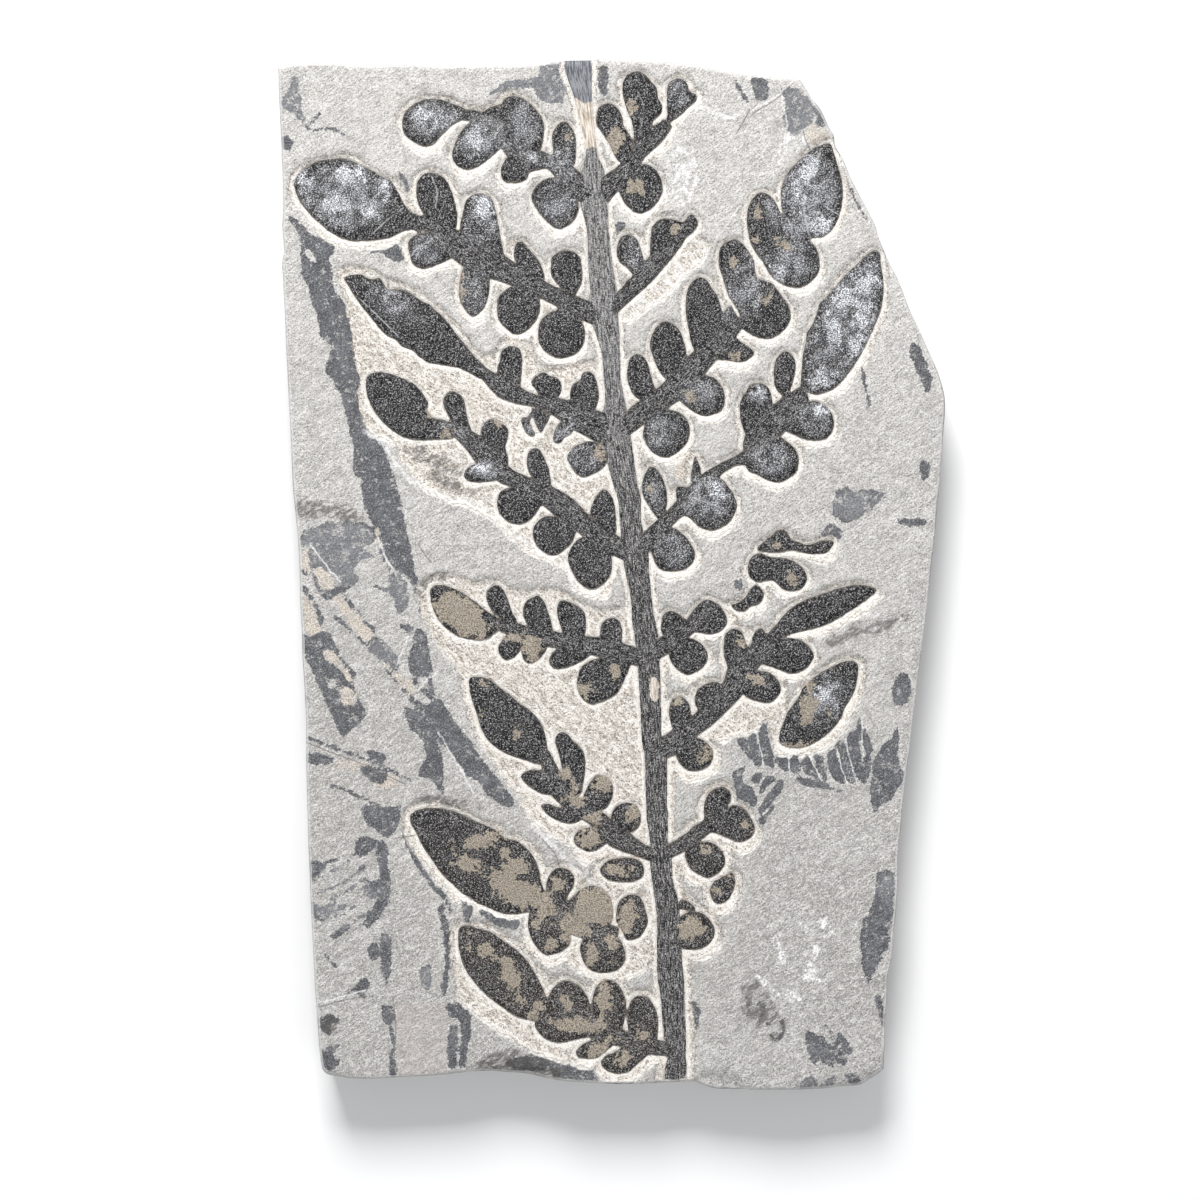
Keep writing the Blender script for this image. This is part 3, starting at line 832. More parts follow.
def beside(spots, strokes, reach=6.0, cuts=5):
    """Where each spot is by the nearest of many (width, line) strokes: its signed offset over the
    stroke's half width, how far away the line is, and how far along it the spot lies."""
    offset, away = np.full(len(spots), reach), np.full(len(spots), reach)
    place = np.zeros(len(spots))
    for width, stops in strokes:
        gone = 0.0
        line = smooth_line(stops, cuts * len(stops))
        for a, b in zip(line, line[1:]):
            low, high = np.minimum(a, b) - reach, np.maximum(a, b) + reach
            close = np.flatnonzero(((spots > low) & (spots < high)).all(1))
            length = np.linalg.norm(b - a)
            way = (b - a) / length
            along = (spots[close] - a) @ way
            aside = (spots[close] - a) @ np.array((-way[1], way[0]))
            far = np.hypot(aside, along - np.clip(along, 0.0, length))
            nearer = far < away[close]
            away[close[nearer]] = far[nearer]
            offset[close[nearer]] = aside[nearer] / (width / 2)
            place[close[nearer]] = gone + along[nearer]
            gone += length
    return offset, away, place


def step(value, start, end):
    """Smooth rise from 0 at start to 1 at end; start may lie above end."""
    t = np.clip((value - start) / (end - start), 0.0, 1.0)
    return t * t * (3 - 2 * t)


def grain(spots, size, seed=0.0):
    """Smooth random field between about -1 and 1, with lumps of a size in drawing steps."""
    return np.array([noise.noise((x / size, y / size, seed)) for x, y in spots])


def to_metres(spots):
    """Places on the drawing as places on the slab."""
    return np.stack(((spots[:, 0] - MIDDLE[0]) * STEP, (MIDDLE[1] - spots[:, 1]) * STEP), 1)


def drawing_places(bm):
    """Where a mesh's vertices lie on the drawing."""
    x, y = np.array([vert.co.xy for vert in bm.verts]).T
    return np.stack((x / STEP + MIDDLE[0], MIDDLE[1] - y / STEP), 1)


def unit_grid(bm, across, down):
    """Fill an empty mesh with a grid; gives its vertices' places from 0 to 1 both ways."""
    bmesh.ops.create_grid(bm, x_segments=across, y_segments=down, size=0.5)
    return np.array([vert.co.xy for vert in bm.verts]) + 0.5


def note(mesh, filler=0.0, **fields):
    """Keep numbers on a mesh's first vertices for its material to read, and a filler on the rest."""
    for name, values in fields.items():
        padded = np.full(len(mesh.vertices), filler)
        padded[:len(values)] = values
        field = mesh.attributes.new(name, "FLOAT", "POINT")
        field.data.foreach_set("value", padded.astype(np.float32))


def place_piece(bm, name, look, node):
    """Make a finished mesh the visible piece for a CAD node."""
    mesh = bpy.data.meshes.new(name)
    bm.to_mesh(mesh)
    bm.free()
    mesh.materials.append(look.material)
    piece = bpy.data.objects.new(name, mesh)
    bpy.context.scene.collection.objects.link(piece)
    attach(piece, "root")
    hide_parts(node)
    return piece


class Finish:
    """A material, with short words for the nodes that it is made of."""

    def __init__(self, name, **constants):
        self.material = bpy.data.materials.new(name)
        self.material.use_nodes = True
        self.tree = self.material.node_tree
        self.shader = self.tree.nodes["Principled BSDF"]
        for socket, value in constants.items():
            self.shader.inputs[socket.replace("_", " ")].default_value = value
        self.place = self.node("TexCoord", out="Object")

    def node(self, kind, inputs=None, out=0, **settings):
        """A shader node with its inputs set or linked; gives one of its outputs."""
        made = self.tree.nodes.new("ShaderNode" + kind)
        for key, value in settings.items():
            setattr(made, key, value)
        for key, value in (inputs or {}).items():
            if isinstance(value, bpy.types.NodeSocket):
                self.tree.links.new(value, made.inputs[key])
            else:
                made.inputs[key].default_value = value
        return made.outputs[out]

    def math(self, operation, a, b=0.0):
        return self.node("Math", {0: a, 1: b}, operation=operation)

    def sum(self, a, b):
        return self.math("ADD", a, b)

    def times(self, a, b):
        return self.math("MULTIPLY", a, b)

    def reads(self, name):
        """The number that was noted on the mesh under a name."""
        return self.node("Attribute", out="Fac", attribute_name=name)

    def spots(self, size, detail=2.0, rough=0.55, turn=0.0, stretch=1.0, spread=1.0, shift=0.0, field=None):
        """Noise with lumps of a size in mm, drawn out by stretch and spread along turned axes."""
        turned = (0.0, 0.0, math.radians(turn))
        where = self.node("Mapping", {"Vector": field or self.place, "Location": (shift, shift, 0.0),
                                      "Rotation": turned, "Scale": (stretch, spread, 1.0)},
                          vector_type="TEXTURE")
        return self.node("TexNoise", {"Vector": where, "Scale": 1.0 / (size * MM), "Detail": detail,
                                      "Roughness": rough})

    def along(self, size, detail, rough, stretch, shift=0.0):
        """Noise drawn out along a stem, by the noted places along and across it."""
        field = self.node("CombineXYZ", {"X": self.reads("along"), "Y": self.reads("across"), "Z": 0.0})
        return self.spots(size, detail, rough, stretch=stretch, shift=shift, field=field)

    def ragged(self, value, wobble, size, detail=3.0, shift=0.0):
        """A distance made uneven by noise, so that a mark has a broken edge."""
        lumps = self.math("SUBTRACT", self.spots(size, detail, 0.6, shift=shift), 0.5)
        return self.sum(value, self.times(lumps, 2.0 * wobble))

    def crumbs(self, size):
        """Crumbs of a size in mm, each with its own even random tone from 0 to 1."""
        tone = self.node("TexVoronoi", {"Vector": self.place, "Scale": 1.0 / (size * MM)}, out="Color")
        return self.node("SeparateColor", {"Color": tone})

    def curls(self, size, **settings):
        """Fine curling lines: 0 on the line, more beside it."""
        lumps = self.spots(size, 1.5, 0.6, **settings)
        return self.math("ABSOLUTE", self.math("SUBTRACT", lumps, 0.5))

    def stroke(self, name, half_width, wobble=0.5):
        """A thin line where the offset that was noted under a name passes through zero."""
        lumps = self.math("SUBTRACT", self.spots(1.2, 3.0), 0.5)
        off = self.sum(self.reads(name), self.times(lumps, 4.0 * wobble))
        line = self.rise(self.math("ABSOLUTE", off), half_width * 1.5, half_width * 0.5)
        return self.times(line, self.rise(self.reads(name + "_away"), 5.0, 3.5))

    def rise(self, value, start, end, low=0.0, high=1.0):
        """A smooth rise from low at start to high at end; start may lie above end."""
        if end < start:
            start, end, low, high = end, start, high, low
        return self.node("MapRange", {"Value": value, "From Min": start, "From Max": end,
                                      "To Min": low, "To Max": high}, interpolation_type="SMOOTHSTEP")

    def mix(self, amount, a, b):
        """Colour a where the amount is 0 and colour b where it is 1."""
        mixer = self.tree.nodes.new("ShaderNodeMix")
        mixer.data_type = "RGBA"
        for socket, value in ((0, amount), (6, a), (7, b)):
            if isinstance(value, bpy.types.NodeSocket):
                self.tree.links.new(value, mixer.inputs[socket])
            else:
                mixer.inputs[socket].default_value = (*value, 1.0) if isinstance(value, tuple) else value
        return mixer.outputs[2]

    def layers(self, colour, *coats):
        """Coats over a colour: each is a value, where on it the coat starts and is full, how much
        the full coat covers, and its tone."""
        for value, start, full, cover, tone in coats:
            colour = self.mix(self.rise(value, start, full, 0.0, cover), colour, tone)
        return colour

    def bumpy(self, height, size, below=None):
        """Relief from a height of 0 to 1 that stands for so many mm, on top of other relief."""
        inputs = {"Height": height, "Distance": size * MM, "Strength": 1.0}
        if below:
            inputs["Normal"] = below
        return self.node("Bump", inputs)

    def finish(self, colour, relief):
        self.tree.links.new(colour, self.shader.inputs["Base Color"])
        self.tree.links.new(relief, self.shader.inputs["Normal"])


shale = Finish("shale", Roughness=0.86, Specular_IOR_Level=0.28)
from_fern = shale.reads("fern_gap")
up_slab = shale.node("SeparateXYZ", {"Vector": shale.place}, out="Y")
height = shale.node("SeparateXYZ", {"Vector": shale.place}, out="Z")
fine = shale.spots(0.31, 2.0, 0.8)
streaks = shale.spots(0.34, 2.0, 0.8, turn=38.0, stretch=2.8)
scratches = shale.spots(0.46, 2.0, 0.75, turn=-40.0, stretch=3.6, shift=0.9)
veil = shale.spots(1.6, 3.0, 0.6, turn=32.0, stretch=2.2, shift=1.9)
middle = shale.spots(3.2, 4.0, 0.65, shift=0.3)
cloud = shale.spots(17.0, 3.0, 0.6)

# The natural face: fine grey grain with pale streaks, paler towards the top of the slab.
natural = shale.mix(shale.rise(up_slab, -0.09, 0.10), (0.370, 0.354, 0.334), (0.595, 0.572, 0.538))
natural = shale.layers(
    natural,
    (cloud, 0.35, 0.75, 0.40, (0.570, 0.556, 0.530)),
    (middle, 0.40, 0.66, 0.58, (0.330, 0.316, 0.296)),
    (veil, 0.50, 0.66, 0.40, (0.700, 0.680, 0.648)),
    (from_fern, 40.0, 4.0, 0.25, (0.640, 0.612, 0.570)),
    (streaks, 0.47, 0.37, 0.50, (0.220, 0.212, 0.202)),
    (streaks, 0.53, 0.64, 0.55, (0.820, 0.800, 0.768)),
    (shale.curls(0.85, turn=35.0, stretch=1.7), 0.035, 0.0, 0.55, (0.850, 0.832, 0.800)),
    (fine, 0.47, 0.35, 0.75, (0.120, 0.115, 0.108)),
    (fine, 0.56, 0.66, 0.45, (0.900, 0.885, 0.855)),
    (shale.ragged(shale.reads("blush"), 7.0, 3.0), 3.0, -3.0, 0.32, (0.430, 0.365, 0.350)),
)

# Cream stains on it, with fine dark scratches.
cream_edge = shale.ragged(shale.ragged(shale.reads("cream"), 9.0, 1.8, 4.0), 5.0, 0.6, 3.0, 0.3)
cream = shale.mix(shale.rise(fine, 0.36, 0.58), (0.340, 0.290, 0.240), (0.740, 0.668, 0.582))
cream = shale.layers(cream, (scratches, 0.46, 0.36, 0.70, (0.300, 0.255, 0.210)))
cover = shale.times(shale.rise(cream_edge, 0.8, -0.8), shale.rise(middle, 0.62, 0.46, 0.45, 0.85))
natural = shale.mix(cover, natural, cream)

# Slate-coloured films of other plants, thin enough in places for the stone to show through.
film_edge = shale.ragged(shale.ragged(shale.reads("film"), 4.0, 1.6, 4.0), 3.0, 0.5, 3.0, 0.3)
faded = shale.rise(shale.ragged(shale.reads("faded"), 8.0, 2.4, 4.0), 3.0, -4.0)
slate = shale.mix(shale.rise(middle, 0.40, 0.75), (0.062, 0.065, 0.073), (0.145, 0.150, 0.162))
slate = shale.mix(shale.times(faded, 0.27), slate, (0.400, 0.405, 0.415))
slate = shale.layers(
    slate,
    (streaks, 0.50, 0.72, 0.40, (0.290, 0.294, 0.300)),
    (fine, 0.52, 0.68, 0.65, (0.400, 0.402, 0.405)),
    (fine, 0.46, 0.32, 0.70, (0.030, 0.032, 0.038)),
)
holes = shale.sum(shale.spots(1.3, 5.0, 0.80, shift=0.7), shale.times(faded, 0.03))
holes = shale.rise(holes, 0.555, 0.60)
cover = shale.times(shale.rise(film_edge, 0.5, -0.5), shale.rise(holes, 1.0, 0.0, 0.35, 0.95))
natural = shale.mix(cover, natural, slate)

# Scraped ground: pale and crumbly, crossed by the marks of the point.
dust = shale.spots(1.1, 4.0, 0.75, shift=0.5)
dug = shale.mix(shale.rise(dust, 0.38, 0.62), (0.500, 0.446, 0.382), (0.820, 0.758, 0.680))
dug = shale.layers(
    dug,
    (scratches, 0.52, 0.62, 0.80, (0.940, 0.905, 0.845)),
    (scratches, 0.44, 0.34, 0.70, (0.270, 0.235, 0.200)),
    (shale.curls(0.95, shift=0.4), 0.04, 0.0, 0.50, (0.960, 0.935, 0.890)),
    (fine, 0.45, 0.35, 0.90, (0.085, 0.068, 0.055)),
    (fine, 0.56, 0.66, 0.60, (0.970, 0.950, 0.910)),
    (shale.crumbs(0.33), 0.06, 0.0, 0.70, (0.130, 0.110, 0.092)),
)
worked = shale.rise(shale.ragged(shale.reads("scraped"), 0.80, 1.0, 4.0), 0.30, 0.62)
colour = shale.mix(worked, natural, dug)

# Brown stains, the walls of the hollows, and the pale rim and ochre dust close round the fern.
wavy = shale.spots(0.8, 5.0, 0.75, turn=32.0, stretch=2.6, shift=0.2)
brown = shale.mix(shale.rise(wavy, 0.44, 0.62), (0.088, 0.080, 0.074), colour)
colour = shale.layers(colour, (shale.ragged(shale.reads("brown"), 14.0, 2.2, 4.0), 3.0, -3.0, 0.75, brown))
facing = shale.reads("wall")
uneven = shale.spots(2.6, 4.0, 0.6, shift=1.1)
shaded = shale.times(shale.rise(facing, -0.15, -0.8), shale.rise(uneven, 0.42, 0.60, 0.0, 0.22))
colour = shale.mix(shaded, colour, (0.270, 0.238, 0.205))
lit = shale.times(shale.rise(facing, 0.15, 0.55), shale.rise(uneven, 0.72, 0.50, 0.0, 0.75))
colour = shale.mix(lit, colour, (0.880, 0.835, 0.775))
halo_edge = shale.sum(shale.ragged(from_fern, 6.0, 1.8), shale.times(shale.reads("below"), -1.3))
halo = shale.mix(shale.rise(fine, 0.32, 0.46), (0.560, 0.490, 0.415), (0.930, 0.895, 0.835))
colour = shale.layers(colour, (halo_edge, 4.4, 2.6, 0.85, halo))
ochre = shale.times(shale.rise(from_fern, 2.6, 0.8), shale.rise(up_slab, 0.0, -0.06, 0.15, 0.6))
ochre = shale.times(ochre, shale.rise(shale.spots(2.0, 3.0, 0.6, shift=1.7), 0.50, 0.62))
colour = shale.mix(ochre, colour, (0.640, 0.510, 0.400))
colour = shale.layers(colour, (from_fern, 0.5, 0.1, 0.50, (0.100, 0.085, 0.072)))

# Rubbed spots, scratches and cracks, then the slab's bruised upper rim.
rubbed = shale.rise(shale.ragged(shale.reads("scuff"), 9.0, 1.4, 4.0), 1.5, -2.0)
rub_grain = shale.spots(0.7, 4.0, 0.8, turn=60.0, stretch=1.6, shift=0.3)
rubbed = shale.times(rubbed, shale.rise(rub_grain, 0.44, 0.56, 0.0, 0.90))
scratch_grain = shale.spots(0.8, 4.0, 0.75, shift=2.1)
scratched = shale.times(shale.stroke("scratch", 0.8, 1.0), shale.rise(scratch_grain, 0.36, 0.58, 0.09, 0.60))
colour = shale.mix(shale.math("MAXIMUM", rubbed, scratched), colour, (0.930, 0.922, 0.905))
colour = shale.mix(shale.times(shale.stroke("crack", 0.9), 0.65), colour, (0.130, 0.118, 0.105))
bruised = shale.ragged(shale.reads("edge_gap"), 1.2, 1.0)
colour = shale.layers(colour, (bruised, 3.2, 1.6, 0.60, (0.680, 0.672, 0.655)))

# The broken sides show the beds edge on; the back is one plain bed.
broken = shale.reads("broken")
sides = shale.rise(height, 0.1 * MM, 0.5 * MM)
beds = shale.spots(0.9, 4.0, 0.65, stretch=7.0, spread=7.0)
bed_tone = shale.mix(shale.rise(beds, 0.36, 0.64), (0.215, 0.205, 0.192), (0.600, 0.578, 0.545))
back_tone = shale.mix(shale.rise(middle, 0.35, 0.65), (0.390, 0.374, 0.352), (0.460, 0.442, 0.416))
bed_tone = shale.mix(sides, back_tone, bed_tone)
bed_tone = shale.layers(bed_tone, (fine, 0.46, 0.34, 0.60, (0.120, 0.115, 0.108)))
colour = shale.mix(shale.times(broken, 0.85), colour, bed_tone)

rough_ground = shale.times(worked, shale.spots(1.0, 4.0, 0.72))
smooth_ground = shale.times(shale.spots(1.6, 5.0, 0.66, turn=36.0, stretch=2.4), 0.75)
relief = shale.bumpy(shale.sum(rough_ground, smooth_ground), 0.48)
relief = shale.bumpy(shale.sum(shale.rise(fine, 0.25, 0.75), shale.rise(streaks, 0.35, 0.65)), 0.07, relief)
relief = shale.bumpy(shale.rise(from_fern, 0.3, 2.2), 0.14, relief)
relief = shale.bumpy(shale.times(shale.times(broken, beds), sides), 0.60, relief)
shale.finish(colour, relief)

stem_loops = {name: [stem_loop(run) for run in runs] for name, runs in STEMS.items()}
leaf_loops = {name: [smooth_loop(leaf) for leaf in leaves] for name, leaves in LEAFLETS.items()}
stalk_line = smooth_line([(y, (a + b) / 2, (b - a) / 2) for y, a, b in STALK], 400)[:, (1, 0, 2)]
stalk_half = stalk_line[:, 2:] * (1, 0)
stalk_loop = np.vstack((stalk_line[:, :2] - stalk_half, (stalk_line[:, :2] + stalk_half)[::-1]))
fern_loops = [stalk_loop] + [loop for loops in (*stem_loops.values(), *leaf_loops.values()) for loop in loops]

# Its face is a grid drawn out between the four edges.
bm = bmesh.new()
u, v = unit_grid(bm, CELLS_ACROSS, CELLS_ALONG).T
left, right = (smooth_line(edge, 600) for edge in (LEFT_EDGE[::-1], RIGHT_EDGE))
low, high = (smooth_line(edge, 600) for edge in (BOTTOM_EDGE, TOP_EDGE[::-1]))
U, V = u[:, None], v[:, None]
corners = (1 - U) * (1 - V) * low[0] + U * (1 - V) * low[-1] + (1 - U) * V * high[0] + U * V * high[-1]
spots = (1 - V) * at(low, u) + V * at(high, u) + (1 - U) * at(left, v) + U * at(right, v) - corners
outline = np.vstack((low, right, high[::-1], left[::-1]))
edge_gap = -loop_distance(spots, outline[::6])

# Scraped ground lies round the fern and in the drawn zones, but not on the standing films.
fern_gap = distance(spots, fern_loops)
below = lean(spots, fern_loops, DOWN)
scraped_loops = [smooth_loop(zone) for zone in SCRAPED]
zones = distance(spots, scraped_loops)
margin = fern_gap - np.interp(spots[:, 1], SCRAPE_SPAN, SCRAPE_REACH) - 1.5 * below
ground = np.minimum(margin, zones)
ground = ground + 3.4 * grain(spots, 26.0, 3.0) + 2.2 * grain(spots, 9.0, 5.0)
standing = gap_to(spots, STANDING_FILMS, 12.0)
ground = np.maximum(ground, 5.5 - 2.0 * standing)
scrape = step(ground, 3.8, -4.0)
wall = 4.0 * scrape * (1.0 - scrape) * np.where(zones < margin, lean(spots, scraped_loops, DOWN), below)

film_lines = [stem_loop([(x, y, width) for x, y in run]) for width, run in FILM_LINES]
films = np.minimum(gap_to(spots, FILMS, 12.0), distance(spots, film_lines, 12.0))
films = np.maximum(films, -gap_to(spots, FILM_GAPS, 12.0))
films = np.minimum(films, standing * 1.6)
rubs = np.minimum(gap_to(spots, SCUFFS), np.maximum(gap_to(spots, FAINT_SCUFFS), 0.0))
scratch, scratch_away, _ = beside(spots, SCRATCHES)
crack, crack_away, _ = beside(spots, CRACKS)

# How far each spot lies below the top of the face: waves, scraped ground, a bevel, chips, pockets.
depth = FACE_DEPTH + sum(mm * MM * grain(spots, size, seed) for mm, size, seed in WAVES)
depth += scrape * SCRAPE_DEPTH * (1 + 0.14 * grain(spots, 30.0, 6.0))
depth += scrape * 0.055 * MM * grain(spots, 4.5, 7.0)
depth += BEVEL * step(edge_gap, 3.5, 0.0)
for shape, fall in CHIPS:
    inside = -distance(spots, [smooth_loop(shape)])
    depth += fall * MM * step(inside, 0.0, 16.0) * (0.75 + 0.5 * grain(spots, 9.0, 9.0))
depth = np.where(fern_gap < -2.6, np.maximum(depth, POCKET_DEPTH), depth)
depth = np.maximum(depth, 0.0)
for vert, (x, y), fall in zip(bm.verts, to_metres(spots), depth):
    vert.co = (x, y, FACE - fall)

# Which way is out, at each vertex of the face's rim.
ring = [edge for edge in bm.edges if edge.is_boundary]
outward = {}
for vert in {vert for edge in ring for vert in edge.verts}:
    out = Vector((0.0, 0.0, 0.0))
    for edge in vert.link_edges:
        if edge.is_boundary:
            side = edge.verts[1].co - edge.verts[0].co
            normal = Vector((side.y, -side.x, 0.0)).normalized()
            inner = edge.link_faces[0].calc_center_median()
            out += normal if normal.dot(vert.co - inner) > 0.0 else -normal
    outward[vert] = (vert.co.copy(), out.normalized())

# Its sides: bed by bed the shale breaks back unevenly, down to a flat back with a worn arris.
for row, level in enumerate(BEDS):
    made = bmesh.ops.extrude_edge_only(bm, edges=ring)["geom"]
    fresh = {part for part in made if isinstance(part, bmesh.types.BMVert)}
    lower = {}
    for vert in fresh:
        above = next(edge.other_vert(vert) for edge in vert.link_edges if edge.other_vert(vert) in outward)
        start, normal = outward[above]
        lump = noise.noise(start * 130.0 + Vector((0.0, 0.0, row // 2 * 5.7)))
        chip = noise.noise(start * 480.0 + Vector((3.0, 0.0, level * 1.3)))
        inset = 0.12 + 1.30 * max(lump, 0.0) + 0.45 * abs(chip) + 0.6 * max(ARRIS - level, 0.0)
        vert.co = start - normal * (inset * MM)
        vert.co.z = level * MM + (0.12 * MM * chip if level > 0.0 else 0.0)
        if row < 2:
            vert.co.z = min(vert.co.z, start.z - (0.3 + 0.4 * row) * MM)
        lower[vert] = (start, normal)
    outward = lower
    ring = [part for part in made
            if isinstance(part, bmesh.types.BMEdge) and all(vert in fresh for vert in part.verts)]
bmesh.ops.edgeloop_fill(bm, edges=ring)
bmesh.ops.recalc_face_normals(bm, faces=bm.faces)
for face in bm.faces:
    face.smooth = len(face.verts) == 4
slab = place_piece(bm, "shale_plate", shale, "shale_slab").data
note(slab, scraped=scrape, wall=wall, below=below)
note(slab, 1.0, broken=np.zeros(len(spots)))
note(slab, FAR, fern_gap=fern_gap, film=films, edge_gap=edge_gap, scuff=rubs, scratch=scratch,
     scratch_away=scratch_away, crack=crack, crack_away=crack_away, brown=gap_to(spots, BROWN_STAINS),
     cream=gap_to(spots, CREAM_STAINS), blush=distance(spots, [np.array(BLUSH, float)], 15.0),
     faded=gap_to_ovals(spots, FADED_FILMS))


# The stalk: a flattened stem of black carbon, finely ribbed lengthwise, that crosses the whole
# slab. Near the top edge the carbon is partly lost and what stays is slate grey and streaky.
STALK_DEPTH = 0.46 * MM            # its surface lies so far below the natural face
STALK_CELLS = (14, 420)            # of its grid, across and along
SEAT = FACE - 1.22 * MM            # underside of the carbon, in its pocket
BARE_STALK = [
    [(563, 92), (574, 97), (586, 103), (599, 100), (600, 125), (601, 152), (593, 146), (586, 150),
     (584, 162), (582, 171), (575, 170), (572, 150), (566, 120)],
    [(650, 680), (656, 678), (659, 690), (656, 702), (651, 698)],
]

stem = Finish("stalk_carbon", Roughness=0.60, Specular_IOR_Level=0.16)
ribs = stem.along(0.34, 3.0, 0.75, stretch=9.0)
fibres = stem.along(0.22, 2.0, 0.75, stretch=9.0, shift=0.2)
specks = stem.spots(0.27, 2.0, 0.8, shift=0.6)
black = stem.mix(stem.rise(ribs, 0.42, 0.62), (0.006, 0.006, 0.006), (0.120, 0.114, 0.112))
black = stem.layers(black, (fibres, 0.54, 0.64, 0.90, (0.440, 0.428, 0.420)))
grey = stem.mix(stem.rise(ribs, 0.40, 0.60), (0.050, 0.050, 0.054), (0.340, 0.330, 0.320))
grey = stem.layers(grey, (fibres, 0.52, 0.70, 0.90, (0.560, 0.550, 0.530)))
black = stem.mix(stem.times(stem.reads("paler"), 0.75), black, grey)
black = stem.layers(
    black,
    (specks, 0.48, 0.38, 0.85, (0.004, 0.004, 0.004)),
    (specks, 0.56, 0.65, 0.80, (0.480, 0.468, 0.460)),
)
slate = stem.mix(stem.rise(ribs, 0.36, 0.62), (0.060, 0.066, 0.078), (0.270, 0.276, 0.290))
slate = stem.layers(slate, (fibres, 0.56, 0.70, 0.50, (0.480, 0.480, 0.480)))
black = stem.mix(stem.reads("worn"), black, slate)
stone = stem.mix(stem.rise(ribs, 0.40, 0.60), (0.400, 0.330, 0.260), (0.760, 0.700, 0.610))
stone = stem.layers(stone, (fibres, 0.46, 0.32, 0.70, (0.130, 0.110, 0.095)))
black = stem.layers(black, (stem.ragged(stem.reads("flake"), 3.4, 1.2, 4.0), 0.8, -0.8, 0.92, stone))
stem.finish(black, stem.bumpy(stem.sum(ribs, stem.times(specks, 0.5)), 0.10))


def close_under(bm):
    """Give an open sheet its edge and flat underside, and mark the edge as sharp."""
    under = bmesh.ops.extrude_face_region(bm, geom=list(bm.faces))["geom"]
    for part in under:
        if isinstance(part, bmesh.types.BMVert):
            part.co.z = SEAT
    bmesh.ops.recalc_face_normals(bm, faces=bm.faces)
    for face in bm.faces:
        face.smooth = True
    for edge in bm.edges:
        if len(edge.link_faces) == 2 and edge.calc_face_angle(0.0) > 0.9:
            edge.smooth = False


bm = bmesh.new()
u, v = unit_grid(bm, *STALK_CELLS).T
line = at(stalk_line, 1 - v)
centre, half = line[:, :2], line[:, 2]
half = half + 0.9 * grain(np.stack((u.round() * 50, centre[:, 1]), 1), 6.0, 12.0)
side = 2 * u - 1
spots = np.stack((centre[:, 0] + side * half, centre[:, 1]), 1)
ribbing = grain(np.stack((side * 8.0, centre[:, 1] / 26.0), 1), 1.0, 14.0)
drop = STALK_DEPTH + 0.22 * MM * np.abs(side) ** 4 - 0.05 * MM * ribbing
drop += 0.03 * MM * grain(spots, 20.0, 15.0)
drop += 0.25 * MM * (step(spots[:, 1], 66.0, 61.0) + step(spots[:, 1], 1070.0, 1078.0))
for vert, (x, y), fall in zip(bm.verts, to_metres(spots), drop):
    vert.co = (x, y, FACE - fall)
close_under(bm)
where = drawing_places(bm)
middle_x = np.interp(where[:, 1], stalk_line[:, 1], stalk_line[:, 0])
stalk = place_piece(bm, "rachis_carbon", stem, "rachis").data
note(stalk, across=(where[:, 0] - middle_x) * STEP, along=where[:, 1] * STEP,
     worn=step(where[:, 1], 120.0, 95.0), paler=step(where[:, 1], 600.0, 300.0),
     flake=gap_to(where, BARE_STALK))


# The side shoots: each is one sheet of carbon, a flattened stem with rounded leaflets in two
# rows and a long one at its tip. The leaflets lie a little padded in their hollows. Where the
# carbon has flaked off, the brown stone under it shows; some leaflets catch a bluish sheen.
LEAF_CELL = 0.30 * MM              # of a sheet's grid
LEAF_RISE = 0.36 * MM              # a leaflet's middle above its edge
STEM_RISE = 0.12 * MM              # a stem's middle above its edge
EDGE_DEPTH = 0.56 * MM             # a leaflet's edge below the natural face
SHEET_REACH = 30.0                 # how far from its outlines a sheet's cells are measured
